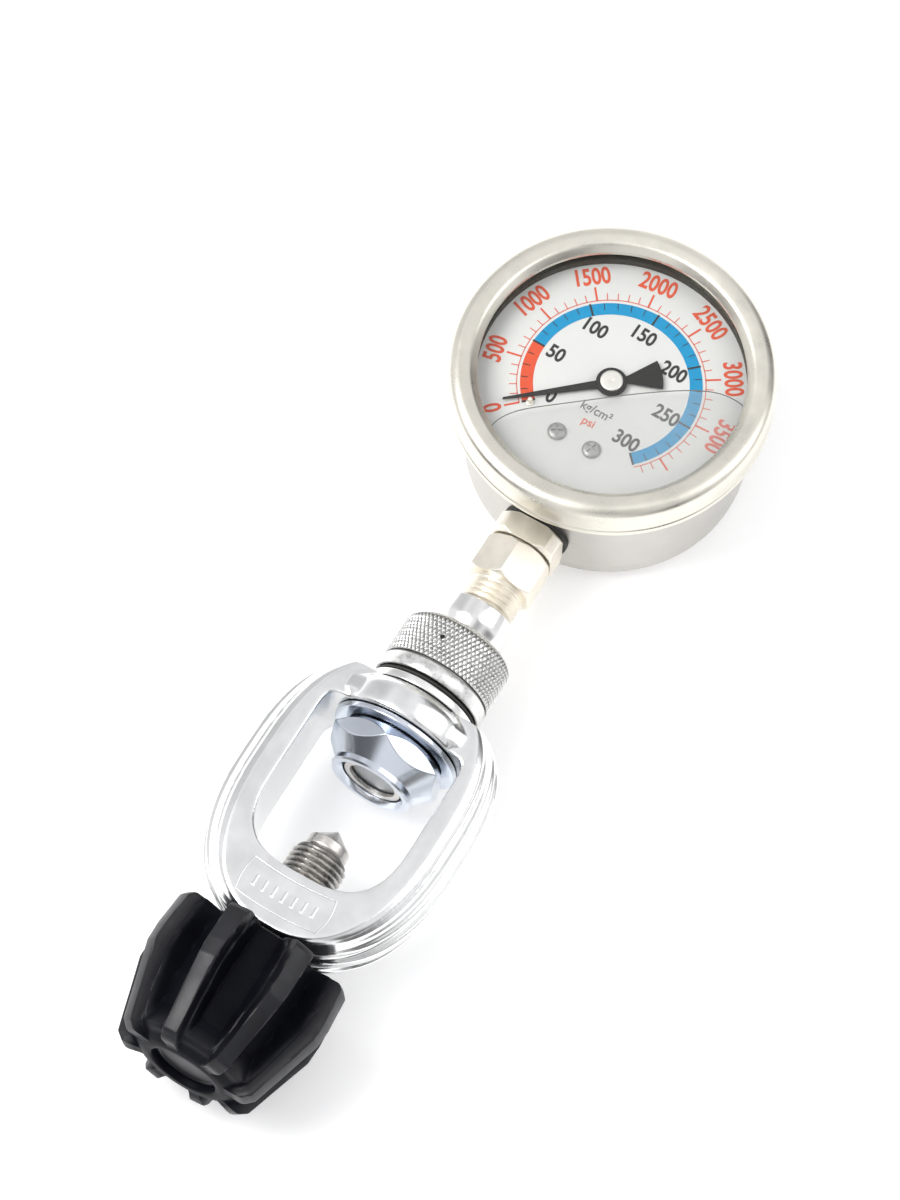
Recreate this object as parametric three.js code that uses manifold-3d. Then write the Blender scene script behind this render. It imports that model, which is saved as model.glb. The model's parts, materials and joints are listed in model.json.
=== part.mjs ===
// Yoke-clamp cylinder pressure checker: a liquid-filled Bourdon gauge on a swivelling yoke clamp.
// Millimetres. +Z is the way the dial faces, +Y runs up the stem from the hand knob to the gauge.
// The origin is the centre of the flat back of the gauge case, so the pointer turns about Z.
import * as THREE from "three";
import { mergeVertices } from "three/addons/utils/BufferGeometryUtils.js";
import Module from "manifold-3d";

const wasm = await Module();
wasm.setup();

// ---------- driving dimensions ----------

const clearance = 0.3; // between pieces that touch or turn in each other
const fine = 40; // facets round the large turned parts
const coarse = 20; // facets round the small ones

// gauge
const gaugeDepth = 37.4;
const caseRadius = 30.25;
const caseWall = 0.8;
const bezelRadius = 34.25;
const windowOpening = 28;
const bezelSkirt = 9.7;
const dialTop = 30;
const dialRadius = 28.6;
const scaleZero = THREE.MathUtils.degToRad(223.5);
const pointerRest = THREE.MathUtils.degToRad(220.5);
const pointerLength = 23;

// stem line: the common axis of the stem, the yoke and the hand screw
const axisHeight = 13.7;

// stations along the stem line, from the gauge down
const squareTop = -31.2;
const squareEnd = -36.4;
const hexTop = -36.8;
const hexEnd = -45.8;
const threadEnd = -57.4;
const stemTop = -52.8;
const stemShoulder = -59.2;
const collarTop = -60.2;
const collarEnd = -75;
const flangeTop = -76.2;
const flangeEnd = -78;
const yokeTop = -78.3;
const yokeSeat = -86.3;
const nutRidge = -91.1;
const stemEnd = -92.3;
const filterSeat = -93.9;
const noseEnd = -97.6;
const tipPoint = -109.6;
const screwEnd = -116;
const windowBottom = -124.5;
const windowStraightEnd = -106;
const yokeMiddle = -105;
const yokeBottom = -139;
const knobStart = -139.6;
const insertTop = -141.5;
const crossPinStation = -152;
const screwFoot = -163;
const insertEnd = -163.3;
const knobEnd = -170;

// yoke
const yokeHalfWidth = 26;
const yokeHalfThickness = 9.5;
const windowHalfWidth = 16.2;
const bossRadius = 15;

// stem and screw
const stemRadius = 7.8;
const shaftRadius = 7;
const screwRadius = 6.2;
const neckRadius = 4.7;
const noseRadius = 9.35;
const noseBore = 6.9;
const spigotRadius = 4.75;
const threadRadius = 6.4;

// movement
const sectorPivotY = -15;
const tailPin = new THREE.Vector2(5, -16.2);
const tubeRadius = 20.5;
const tubeStart = THREE.MathUtils.degToRad(-104);
const tubeEnd = THREE.MathUtils.degToRad(-382);

// ---------- materials ----------

const finish = (color, roughness, metalness) => ({ color, roughness, metalness });
const brushedSteel = finish(0xcfcac0, 0.35, 1);
const chrome = finish(0xe6e8ea, 0.12, 1);
const zincPlate = finish(0xb4bcc8, 0.18, 1);
const nickel = finish(0xd8cfb8, 0.25, 1);
const turnedSteel = finish(0xb3aca0, 0.3, 1);
const brass = finish(0xc8a452, 0.3, 1);
const bronze = finish(0xb07a45, 0.35, 1);
const blackRubber = finish(0x161616, 0.85, 0);
const blackPlastic = finish(0x1d1e21, 0.5, 0);
const blackPaint = finish(0x1c1c1a, 0.6, 0);
const whitePaint = finish(0xe9ebea, 0.55, 0);
const clearPlastic = finish(0xf4f8f8, 0.05, 0);

// ---------- geometry helpers ----------

function solidOf(geometry) {
  const bare = geometry.clone();
  bare.deleteAttribute("normal");
  bare.deleteAttribute("uv");
  const merged = mergeVertices(bare, 1e-4);
  return new wasm.Manifold(
    new wasm.Mesh({
      numProp: 3,
      vertProperties: new Float32Array(merged.attributes.position.array),
      triVerts: new Uint32Array(merged.index.array),
    }),
  );
}

function geometryOf(solid) {
  const mesh = solid.getMesh();
  const geometry = new THREE.BufferGeometry();
  geometry.setAttribute("position", new THREE.BufferAttribute(mesh.vertProperties, mesh.numProp));
  geometry.setIndex(new THREE.BufferAttribute(mesh.triVerts, 1));
  return geometry;
}

function cut(base, ...tools) {
  return geometryOf(tools.reduce((left, tool) => left.subtract(solidOf(tool)), solidOf(base)));
}

function join(base, ...extras) {
  return geometryOf(extras.reduce((whole, extra) => whole.add(solidOf(extra)), solidOf(base)));
}

function common(base, other) {
  return geometryOf(solidOf(base).intersect(solidOf(other)));
}

// A solid of revolution about Y from [radius, y] corners given anticlockwise, closed on itself.
function turned(corners, facets = coarse) {
  const points = corners.map(([radius, y]) => new THREE.Vector2(radius, y));
  points.push(points[0].clone());
  return new THREE.LatheGeometry(points, facets);
}

// The same about the gauge's own axis, from [radius, z] corners.
function turnedOnZ(corners, facets = fine) {
  return turned(corners, facets).rotateX(Math.PI / 2);
}

// A plain round bar or ring about the stem line's direction, between two stations.
function rod(radius, from, to, facets = coarse) {
  const low = Math.min(from, to);
  const high = Math.max(from, to);
  return new THREE.CylinderGeometry(radius, radius, high - low, facets).translate(0, (low + high) / 2, 0);
}

function ring(inner, outer, from, to, facets = coarse) {
  const low = Math.min(from, to);
  const high = Math.max(from, to);
  return turned([[inner, low], [outer, low], [outer, high], [inner, high]], facets);
}

// A round bar along Z at a place on the gauge.
function post(radius, low, high, x = 0, y = 0, facets = coarse) {
  return new THREE.CylinderGeometry(radius, radius, high - low, facets)
    .rotateX(Math.PI / 2)
    .translate(x, y, (low + high) / 2);
}

function plate(shape, low, high, curveSegments = 8) {
  return new THREE.ExtrudeGeometry(shape, { depth: high - low, bevelEnabled: false, curveSegments })
    .translate(0, 0, low);
}

function block(minX, maxX, minY, maxY, minZ, maxZ) {
  return new THREE.BoxGeometry(maxX - minX, maxY - minY, maxZ - minZ)
    .translate((minX + maxX) / 2, (minY + maxY) / 2, (minZ + maxZ) / 2);
}

// A hexagonal bar along Y with a corner pointing along Z.
function hexBar(acrossFlats, from, to) {
  return rod(acrossFlats / Math.sqrt(3), from, to, 6);
}

const object = new THREE.Group();
const stemLine = new THREE.Group();
stemLine.position.z = axisHeight;
object.add(stemLine);

function add(group, name, geometry, material) {
  const mesh = new THREE.Mesh(geometry, new THREE.MeshStandardMaterial(material));
  mesh.name = name;
  group.add(mesh);
}

// ---------- gauge housing ----------

const bezelBottom = gaugeDepth - bezelSkirt;
const flangeRadius = 33;
const flangeLow = 29.6;
const flangeHigh = 30.6;
const gasketHigh = 31.9;
const windowLow = 32.2;
const windowHigh = 34.7;
const windowRadius = 32.6;
const plugHeight = 17;
const plugRadius = 4;
const stemHoleRadius = 5.7;

function caseCup() {
  const corner = 3.5;
  const innerRadius = caseRadius - caseWall;
  const shell = turnedOnZ([
    [0, 0],
    [caseRadius - corner, 0],
    [caseRadius - corner * 0.29, corner * 0.29],
    [caseRadius, corner],
    [caseRadius, flangeLow],
    [flangeRadius, flangeLow],
    [flangeRadius, flangeHigh],
    [innerRadius, flangeHigh],
    [innerRadius, corner],
    [innerRadius - corner * 0.5, caseWall + corner * 0.2],
    [innerRadius - corner, caseWall],
    [0, caseWall],
  ]);
  const stemHole = rod(stemHoleRadius, -caseRadius - 2, -caseRadius + 4).translate(0, 0, axisHeight);
  const fillHole = rod(plugRadius - 0.7, caseRadius - 4, caseRadius + 2).translate(0, 0, plugHeight);
  return cut(shell, stemHole, fillHole);
}

function bezelRing() {
  const skirtInner = flangeRadius + clearance;
  return turnedOnZ([
    [caseRadius + 0.7, bezelBottom + 0.3],
    [caseRadius + 1.2, bezelBottom],
    [bezelRadius - 0.5, bezelBottom],
    [bezelRadius, bezelBottom + 0.5],
    [bezelRadius, gaugeDepth - 2.2],
    [bezelRadius - 0.5, gaugeDepth - 0.8],
    [bezelRadius - 1.6, gaugeDepth],
    [windowOpening + 1.8, gaugeDepth - 0.5],
    [windowOpening + 0.3, gaugeDepth - 1.1],
    [windowOpening, gaugeDepth - 1.5],
    [windowOpening, windowHigh + clearance],
    [skirtInner, windowHigh + clearance],
    [skirtInner, bezelBottom + 1.2],
    [caseRadius + 0.7, bezelBottom + 1.2],
  ]);
}

add(object, "case_cup", caseCup(), brushedSteel);
add(object, "bezel_ring", bezelRing(), brushedSteel);

function windowDisc() {
  return turnedOnZ([[0, windowLow], [windowRadius, windowLow], [windowRadius, windowHigh], [0, windowHigh]]);
}

function windowGasket() {
  const low = flangeHigh + clearance;
  const inner = windowRadius - 3.2;
  return turnedOnZ([[inner, low], [windowRadius, low], [windowRadius, gasketHigh], [inner, gasketHigh]]);
}

add(object, "window", windowDisc(), clearPlastic);
add(object, "window_gasket", windowGasket(), blackRubber);

function fillerPlug() {
  const head = rod(plugRadius, caseRadius - 1.2, caseRadius + 1.9).translate(0, 0, plugHeight);
  const shank = rod(plugRadius - 1, caseRadius - 2.5, caseRadius + 1).translate(0, 0, plugHeight);
  const wall = post(caseRadius + clearance, plugHeight - 8, plugHeight + 8, 0, 0, fine);
  return join(cut(head, wall), shank);
}

add(object, "filler_plug", fillerPlug(), blackRubber);

// ---------- dial ----------

const dialThickness = 0.5;
const frontPlateLow = 28.2; // the movement plate that the dial is screwed to
const dialLow = dialTop - dialThickness;
const dialScrewX = 4.1;
const dialScrewY = -15.4;
const screwHole = 1.2;

function dialPlate() {
  const disc = post(dialRadius, dialLow, dialTop, 0, 0, fine);
  const hole = (x) => post(screwHole, dialLow - 1, dialTop + 1, x, dialScrewY);
  const arborHole = post(1.6, dialLow - 1, dialTop + 1);
  return cut(disc, arborHole, hole(-dialScrewX), hole(dialScrewX));
}

add(object, "dial_plate", dialPlate(), whitePaint);

function slottedScrew(x, y, headRadius, seat, headHeight, shankLow) {
  const head = post(headRadius, seat, seat + headHeight, x, y);
  const slotReach = headRadius + 1;
  const slotFloor = seat + headHeight * 0.5;
  const slot = block(x - slotReach, x + slotReach, y - 0.3, y + 0.3, slotFloor, seat + 3);
  return join(cut(head, slot), post(0.9, shankLow, seat + 0.1, x, y, 12));
}

for (const [side, x] of [["left", -dialScrewX], ["right", dialScrewX]]) {
  const screw = slottedScrew(x, dialScrewY, 2, dialTop + clearance, 0.9, frontPlateLow + 0.1);
  add(object, "dial_screw_" + side, screw, turnedSteel);
}

// The zero stop stands just past the end of the scale, where the resting pointer leans on it.
const stopAngle = scaleZero + THREE.MathUtils.degToRad(1.5);
const stopRadius = 17.5;
const stopX = stopRadius * Math.cos(stopAngle);
const stopY = stopRadius * Math.sin(stopAngle);
add(object, "stop_pin", post(0.5, dialTop + clearance, dialTop + 1.7, stopX, stopY, 12), nickel);

// ---------- pressure socket and Bourdon tube ----------

const blockTop = 18.7;
const tubeHalfHeight = 4;
const tubeHalfWidth = 1.3;
const passage = 1.4;
const spigotEnd = -44;

// A flattened tube bent round the gauge axis.
function tubeAlong(halfWidth, halfHeight, from, to, steps) {
  class ArcPath extends THREE.Curve {
    getPoint(t, target = new THREE.Vector3()) {
      const angle = from + (to - from) * t;
      return target.set(tubeRadius * Math.cos(angle), tubeRadius * Math.sin(angle), 0);
    }
  }
  const section = new THREE.Shape().absellipse(0, 0, halfHeight, halfWidth, 0, 2 * Math.PI);
  return new THREE.ExtrudeGeometry(section, { steps, extrudePath: new ArcPath(), curveSegments: 4 })
    .translate(0, 0, axisHeight);
}

function gaugeSocket() {
  const bodyFoot = -26.5;
  const body = block(-7.2, 7.2, bodyFoot, -8.5, 8.3, blockTop);
  const neck = rod(stemHoleRadius - clearance, squareTop - 0.5, bodyFoot + 0.5).translate(0, 0, axisHeight);
  const square = block(-7, 7, squareEnd, squareTop, axisHeight - 7, axisHeight + 7);
  const barStock = rod(8.6, squareEnd - 1, squareTop + 1, 32).translate(0, 0, axisHeight);
  const spigot = rod(spigotRadius, squareEnd + 0.5, spigotEnd).translate(0, 0, axisHeight);
  const bore = rod(passage, spigotEnd - 6, -19.5, 12).translate(0, 0, axisHeight);
  const restrictorBore = rod(2.7, spigotEnd - 6, spigotEnd + 3, 12).translate(0, 0, axisHeight);
  const tubeSlot = block(-12, 0.5, -25, -17.5, axisHeight - 4.3, axisHeight + 4.3);
  const holes = [-4.5, 4.5].map((x) => post(screwHole, 14.8, blockTop + 1, x, -11.5, 12));
  const flats = common(square, barStock);
  return cut(join(body, neck, flats, spigot), bore, restrictorBore, tubeSlot, ...holes);
}

function socketSeal() {
  const washer = ring(stemHoleRadius, 6.9, squareTop + clearance, -28, 32);
  return cut(washer, rod(caseRadius + clearance, -20, 20, fine).rotateX(Math.PI / 2));
}

add(object, "gauge_socket", gaugeSocket(), nickel);
add(stemLine, "socket_seal", socketSeal(), blackRubber);
add(stemLine, "restrictor_screw", ring(0.6, 2.4, spigotEnd + 0.1, spigotEnd + 2.7, 12), brass);

function bourdonTube() {
  const outer = tubeAlong(tubeHalfWidth, tubeHalfHeight, tubeStart, tubeEnd, 24);
  const bore = tubeAlong(tubeHalfWidth - 0.6, tubeHalfHeight - 0.7, tubeStart + 0.1, tubeEnd - 0.1, 24);
  return cut(outer, bore);
}

add(object, "bourdon_tube", bourdonTube(), bronze);

const tipAngle = tubeEnd - THREE.MathUtils.degToRad(5.5);
const tipX = tubeRadius * Math.cos(tipAngle);
const tipY = tubeRadius * Math.sin(tipAngle);
const linkLow = 23.5;
const linkHigh = 24.2;

function tubeTip() {
  const cap = block(-1.7, 1.7, -1.4, 1.4, axisHeight - 4, axisHeight + 4);
  const peg = post(0.7, axisHeight, linkLow - clearance, 0, 0, 12);
  return join(cap, peg).rotateZ(tipAngle).translate(tipX, tipY, 0);
}

add(object, "tube_tip", tubeTip(), brass);

// ---------- movement ----------

const backPlateLow = blockTop + clearance;
const backPlateHigh = backPlateLow + 1;
const frontPlateHigh = frontPlateLow + 1;
const pillarX = 9.5;
const pillarY = -2;
const gearRatio = 6.5;
const pinionRadius = 2;
const sectorRadius = pinionRadius * gearRatio;
const arborRadius = 0.9;

function plateShape() {
  const shape = new THREE.Shape();
  shape.moveTo(-12, 2);
  shape.lineTo(-12, -8);
  shape.lineTo(-7, -19);
  shape.lineTo(7, -19);
  shape.lineTo(12, -8);
  shape.lineTo(12, 2);
  shape.lineTo(5, 5);
  shape.lineTo(-5, 5);
  shape.closePath();
  return shape;
}

function movementPlate(low, high, holes) {
  const tools = holes.map(([x, y, radius]) => post(radius, low - 1, high + 1, x, y, 16));
  return cut(plate(plateShape(), low, high), ...tools);
}

const arborHoles = [[0, 0, arborRadius + clearance], [0, sectorPivotY, arborRadius + clearance]];
const dialScrewHoles = [[-dialScrewX, dialScrewY, screwHole], [dialScrewX, dialScrewY, screwHole]];
const mountHoles = [[-4.5, -11.5, screwHole], [4.5, -11.5, screwHole]];
const backPlate = movementPlate(backPlateLow, backPlateHigh, [...arborHoles, ...mountHoles]);
const frontPlate = movementPlate(frontPlateLow, frontPlateHigh, [...arborHoles, ...dialScrewHoles]);
add(object, "movement_back_plate", backPlate, brass);
add(object, "movement_front_plate", frontPlate, brass);

for (const [side, sign] of [["left", -1], ["right", 1]]) {
  const pillar = post(1.5, backPlateHigh + clearance, frontPlateLow - clearance, sign * pillarX, pillarY, 16);
  add(object, "movement_pillar_" + side, pillar, brass);
  const screw = slottedScrew(sign * 4.5, -11.5, 1.7, backPlateHigh + clearance, 0.8, 15);
  add(object, "movement_screw_" + side, screw, turnedSteel);
}

// A wheel or sector outline: trapezoid teeth of the given pitch radius between two angles.
function toothedArc(shape, radius, from, to, toothCount) {
  const step = (to - from) / toothCount;
  for (let i = 0; i < toothCount; i++) {
    const start = from + i * step;
    for (const [share, reach] of [[0.1, -0.35], [0.35, 0.3], [0.6, 0.3], [0.85, -0.35]]) {
      const angle = start + share * step;
      shape.lineTo((radius + reach) * Math.cos(angle), (radius + reach) * Math.sin(angle));
    }
  }
}

const meshGap = 0.35; // keeps the faceted teeth apart at every angle

function pinionArbor() {
  const gear = new THREE.Shape();
  const root = pinionRadius - meshGap - 0.35;
  gear.moveTo(root, 0);
  toothedArc(gear, pinionRadius - meshGap, 0, 2 * Math.PI, 12);
  gear.closePath();
  const shaft = post(arborRadius, backPlateLow, 31.5, 0, 0, 12);
  return join(shaft, plate(gear, 21.3, 24));
}

function sectorGear() {
  const sweep = 270 / gearRatio;
  const first = THREE.MathUtils.degToRad(90 - sweep - 5);
  const last = THREE.MathUtils.degToRad(90 + 5);
  const shape = new THREE.Shape();
  shape.moveTo(2, -1);
  shape.lineTo(Math.cos(first) * (sectorRadius - 2.5), Math.sin(first) * (sectorRadius - 2.5));
  toothedArc(shape, sectorRadius - meshGap, first, last, 22);
  shape.lineTo(Math.cos(last) * (sectorRadius - 2.5), Math.sin(last) * (sectorRadius - 2.5));
  shape.lineTo(-2, -1);
  shape.closePath();
  const arm = plate(shape, 22.2, 23.2);
  const tail = plate(tailShape(tailPin.x, tailPin.y - sectorPivotY), 22.2, 23.2);
  const peg = post(0.6, 22.7, linkHigh + 0.4, tailPin.x, tailPin.y - sectorPivotY, 12);
  const boss = post(2.4, 22.2, 23.2, 0, 0, 16);
  const bore = post(arborRadius + clearance, 20, 26, 0, 0, 12);
  return cut(join(arm, tail, boss, peg), bore).translate(0, sectorPivotY, 0);
}

// A lever with a round end at the origin and at a second point.
function tailShape(x, y, width = 1.5) {
  const angle = Math.atan2(y, x);
  const shape = new THREE.Shape();
  shape.absarc(x, y, width, angle - Math.PI / 2, angle + Math.PI / 2, false);
  shape.absarc(0, 0, width, angle + Math.PI / 2, angle + 1.5 * Math.PI, false);
  shape.closePath();
  return shape;
}

add(object, "pinion_arbor", pinionArbor(), brass);
add(object, "sector_gear", sectorGear(), brass);
const sectorArbor = post(arborRadius, backPlateLow, frontPlateHigh, 0, sectorPivotY, 12);
add(object, "sector_arbor", sectorArbor, turnedSteel);

function linkBar() {
  const bar = plate(tailShape(tipX - tailPin.x, tipY - tailPin.y, 1.5), linkLow, linkHigh);
  const eye = post(0.9, linkLow - 1, linkHigh + 1, 0, 0, 12);
  return cut(bar, eye).translate(tailPin.x, tailPin.y, 0);
}

add(object, "link", linkBar(), brass);

function hairspring() {
  const turns = 3.5;
  const innerRadius = 2.2;
  const pitch = 1.1;
  const strip = 0.35;
  const steps = Math.round(turns * 16);
  const edge = (offset) =>
    Array.from({ length: steps + 1 }, (_, i) => {
      const angle = (i / 16) * 2 * Math.PI;
      const radius = innerRadius + (pitch * i) / 16 + offset;
      return new THREE.Vector2(radius * Math.cos(angle), radius * Math.sin(angle));
    });
  return plate(new THREE.Shape([...edge(strip), ...edge(0).reverse()]), 25.2, 26.4);
}

add(object, "hairspring", hairspring(), bronze);

// ---------- pointer ----------

const pointerLow = dialTop + 0.7;
const pointerHigh = pointerLow + 0.4;

function pointerBlade() {
  const tailRadius = 10.8;
  const tailHalfAngle = THREE.MathUtils.degToRad(18);
  const shape = new THREE.Shape();
  shape.moveTo(0, 1);
  shape.lineTo(pointerLength, 0.25);
  shape.lineTo(pointerLength, -0.25);
  shape.lineTo(0, -1);
  shape.lineTo(-3.5, -0.7);
  shape.absarc(0, 0, tailRadius, Math.PI + tailHalfAngle, Math.PI - tailHalfAngle, true);
  shape.lineTo(-3.5, 0.7);
  shape.closePath();
  const blade = join(plate(shape, pointerLow, pointerHigh), post(3.2, pointerLow, pointerHigh, 0, 0, coarse));
  const bore = post(arborRadius + clearance, pointerLow - 1, pointerHigh + 1, 0, 0, 12);
  return cut(blade, bore).rotateZ(pointerRest);
}

add(object, "pointer", pointerBlade(), blackPaint);

function pointerCap() {
  const low = pointerHigh + clearance;
  const high = low + 0.5;
  const bore = arborRadius + clearance;
  return turnedOnZ([[bore, low], [2.35, low], [2.2, high], [bore, high]], coarse);
}

add(object, "pointer_cap", pointerCap(), nickel);

// ---------- adapter and outlet stem ----------

function hexAdapter() {
  const corner = 8;
  const bevel = 0.6;
  const chamfered = turned(
    [
      [0, hexEnd],
      [corner - bevel, hexEnd],
      [corner, hexEnd + bevel],
      [corner, hexTop - bevel],
      [corner - bevel, hexTop],
      [0, hexTop],
    ],
    32,
  );
  const body = common(hexBar(13.9, hexEnd, hexTop), chamfered);
  const thread = rod(threadRadius, threadEnd, hexEnd + 0.5);
  const socket = rod(spigotRadius + clearance, spigotEnd - 0.6, hexTop + 1);
  return cut(join(body, thread), socket, rod(passage, threadEnd - 3, spigotEnd + 4, 12));
}

function outletStem() {
  const socketRadius = threadRadius + clearance;
  const socketFloor = threadEnd - clearance;
  return turned(
    [
      [passage, stemEnd],
      [shaftRadius - 0.6, stemEnd],
      [shaftRadius, stemEnd + 0.6],
      [shaftRadius, stemShoulder],
      [stemRadius, stemShoulder + 2],
      [stemRadius, stemTop - 0.3],
      [stemRadius - 0.3, stemTop],
      [socketRadius, stemTop],
      [socketRadius, socketFloor],
      [passage, socketFloor],
    ],
    fine,
  );
}

add(stemLine, "hex_adapter", hexAdapter(), nickel);
add(stemLine, "outlet_stem", outletStem(), chrome);

// ---------- bleed collar ----------

const collarRadius = 12.4;
const ventStation = -66;

function bleedCollar() {
  const body = turned(
    [
      [shaftRadius + clearance, collarEnd],
      [collarRadius - 0.2, collarEnd],
      [collarRadius, collarEnd + 0.3],
      [collarRadius, collarTop - 2.4],
      [10.2, collarTop],
      [shaftRadius + clearance, collarTop],
    ],
    fine,
  );
  const vent = post(0.5, 6, 15, -1.5, ventStation, 8);
  return cut(body, vent);
}

add(stemLine, "bleed_collar", bleedCollar(), chrome);
const collarSeal = ring(10.2, 11.9, flangeTop + clearance, collarEnd - clearance, fine);
add(stemLine, "collar_oring", collarSeal, blackRubber);
add(stemLine, "flange_ring", ring(shaftRadius + clearance, 12.2, flangeEnd, flangeTop, fine), chrome);

// ---------- yoke ----------

// One quarter of a superellipse after another: a closed outline that is wider than it is pointed.
function ovalOutline(halfWidth, reachUp, powerUp, reachDown, powerDown, centreY, topLimit) {
  const points = [];
  const count = 44;
  for (let i = 0; i < count; i++) {
    const angle = (i / count) * 2 * Math.PI;
    const up = Math.sin(angle) >= 0;
    const power = 2 / (up ? powerUp : powerDown);
    const reach = up ? reachUp : reachDown;
    const x = halfWidth * Math.sign(Math.cos(angle)) * Math.abs(Math.cos(angle)) ** power;
    const y = centreY + reach * Math.sign(Math.sin(angle)) * Math.abs(Math.sin(angle)) ** power;
    points.push(new THREE.Vector2(x, Math.min(y, topLimit)));
  }
  return points;
}

function yokeSlab(inset, halfThickness, offset = 0) {
  const reachUp = 31;
  const outline = ovalOutline(
    yokeHalfWidth - inset,
    reachUp,
    2.8,
    yokeMiddle - yokeBottom - inset * 0.2,
    2.4,
    yokeMiddle,
    yokeTop,
  );
  return plate(new THREE.Shape(outline), offset - halfThickness, offset + halfThickness);
}

function yokeBody() {
  const ribHalf = 1.1;
  const ribInset = 1.3;
  const ribOffset = 5.2;
  const frame = join(
    yokeSlab(3.8, yokeHalfThickness),
    yokeSlab(2.8, 7.2),
    yokeSlab(0, 2.2),
    yokeSlab(ribInset, ribHalf, ribOffset),
    yokeSlab(ribInset, ribHalf, -ribOffset),
  );
  const opening = ovalOutline(
    windowHalfWidth,
    yokeSeat - windowStraightEnd,
    14,
    windowStraightEnd - windowBottom,
    3.1,
    windowStraightEnd,
    yokeSeat,
  );
  const window = plate(new THREE.Shape(opening), -yokeHalfThickness - 1, yokeHalfThickness + 1);
  const boss = turned(
    [
      [0, yokeSeat],
      [bossRadius - 0.5, yokeSeat],
      [bossRadius, yokeSeat + 0.5],
      [bossRadius, yokeTop - 2.5],
      [bossRadius - 0.8, yokeTop - 0.9],
      [bossRadius - 2.2, yokeTop],
      [0, yokeTop],
    ],
    fine,
  );
  const stemBore = rod(shaftRadius + clearance, yokeSeat - 2, yokeTop + 2);
  const screwBore = rod(screwRadius + clearance, yokeBottom - 2, windowBottom + 2);
  return cut(join(cut(frame, window), boss), stemBore, screwBore);
}

add(stemLine, "yoke", yokeBody(), chrome);

// ---------- retainer and inlet filter ----------

const washerEnd = yokeSeat - clearance - 1.2;

function retainerNut() {
  const ridgeRadius = 13.86;
  const coneSlope = 0.9;
  const seat = washerEnd - clearance;
  const cones = turned(
    [
      [0, noseEnd],
      [noseRadius - 0.3, noseEnd],
      [noseRadius, noseEnd + 0.3],
      [noseRadius, nutRidge - (ridgeRadius - noseRadius) / coneSlope],
      [ridgeRadius, nutRidge],
      [ridgeRadius - (seat - nutRidge) * coneSlope, seat],
      [0, seat],
    ],
    fine,
  );
  const hexNut = common(cones, hexBar(24, noseEnd - 1, seat + 1));
  const threadBore = rod(shaftRadius + clearance, stemEnd - clearance, seat + 1);
  const passageBore = rod(passage, noseEnd - 2, nutRidge, 12);
  const pocket = rod(noseBore, noseEnd - 1, filterSeat);
  const mouthDepth = 0.5;
  const mouth = turned([
    [0, noseEnd - mouthDepth],
    [noseBore + 2 * mouthDepth, noseEnd - mouthDepth],
    [noseBore, noseEnd + mouthDepth],
    [0, noseEnd + mouthDepth],
  ]);
  return cut(hexNut, threadBore, passageBore, pocket, mouth);
}

const thrustWasher = ring(shaftRadius + clearance, 14.2, washerEnd, yokeSeat - clearance, fine);
const filterLow = filterSeat - clearance - 1.2;
const circlipHigh = filterLow - clearance;
add(stemLine, "thrust_washer", thrustWasher, zincPlate);
add(stemLine, "retainer_nut", retainerNut(), zincPlate);
add(stemLine, "filter_disc", rod(noseBore - clearance, filterLow, filterSeat - clearance), bronze);
add(stemLine, "filter_circlip", ring(5.3, noseBore - clearance, circlipHigh - 0.8, circlipHigh), turnedSteel);

// ---------- hand screw and knob ----------

const socketDepth = 3;
const tipStemRadius = 2;

function thrustTip() {
  return turned([
    [0, screwEnd - socketDepth],
    [tipStemRadius, screwEnd - socketDepth],
    [tipStemRadius, screwEnd + clearance],
    [neckRadius, screwEnd + clearance],
    [neckRadius, tipPoint - 3.3],
    [0, tipPoint],
  ]);
}

function yokeScrew() {
  return turned([
    [0, screwFoot],
    [screwRadius - 0.5, screwFoot],
    [screwRadius, screwFoot + 0.5],
    [screwRadius, screwEnd - 0.6],
    [screwRadius - 0.6, screwEnd],
    [tipStemRadius + clearance, screwEnd],
    [tipStemRadius + clearance, screwEnd - socketDepth - clearance],
    [0, screwEnd - socketDepth - clearance],
  ]);
}

add(stemLine, "thrust_tip", thrustTip(), turnedSteel);
const crossPinRadius = 1.5;
const crossHole = post(crossPinRadius + clearance, -12, 12, 0, crossPinStation, 12);
add(stemLine, "yoke_screw", cut(yokeScrew(), crossHole), turnedSteel);
add(stemLine, "knob_pin", post(crossPinRadius, -8.6, 8.6, 0, crossPinStation, 12), turnedSteel);

const insertRadius = 9;
function knobInsert() {
  const sleeve = ring(screwRadius + clearance, insertRadius, insertEnd, insertTop);
  return cut(sleeve, crossHole);
}

add(stemLine, "knob_insert", knobInsert(), brass);

const ridgeCount = 8;
const recessRadius = 7.5;

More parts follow.
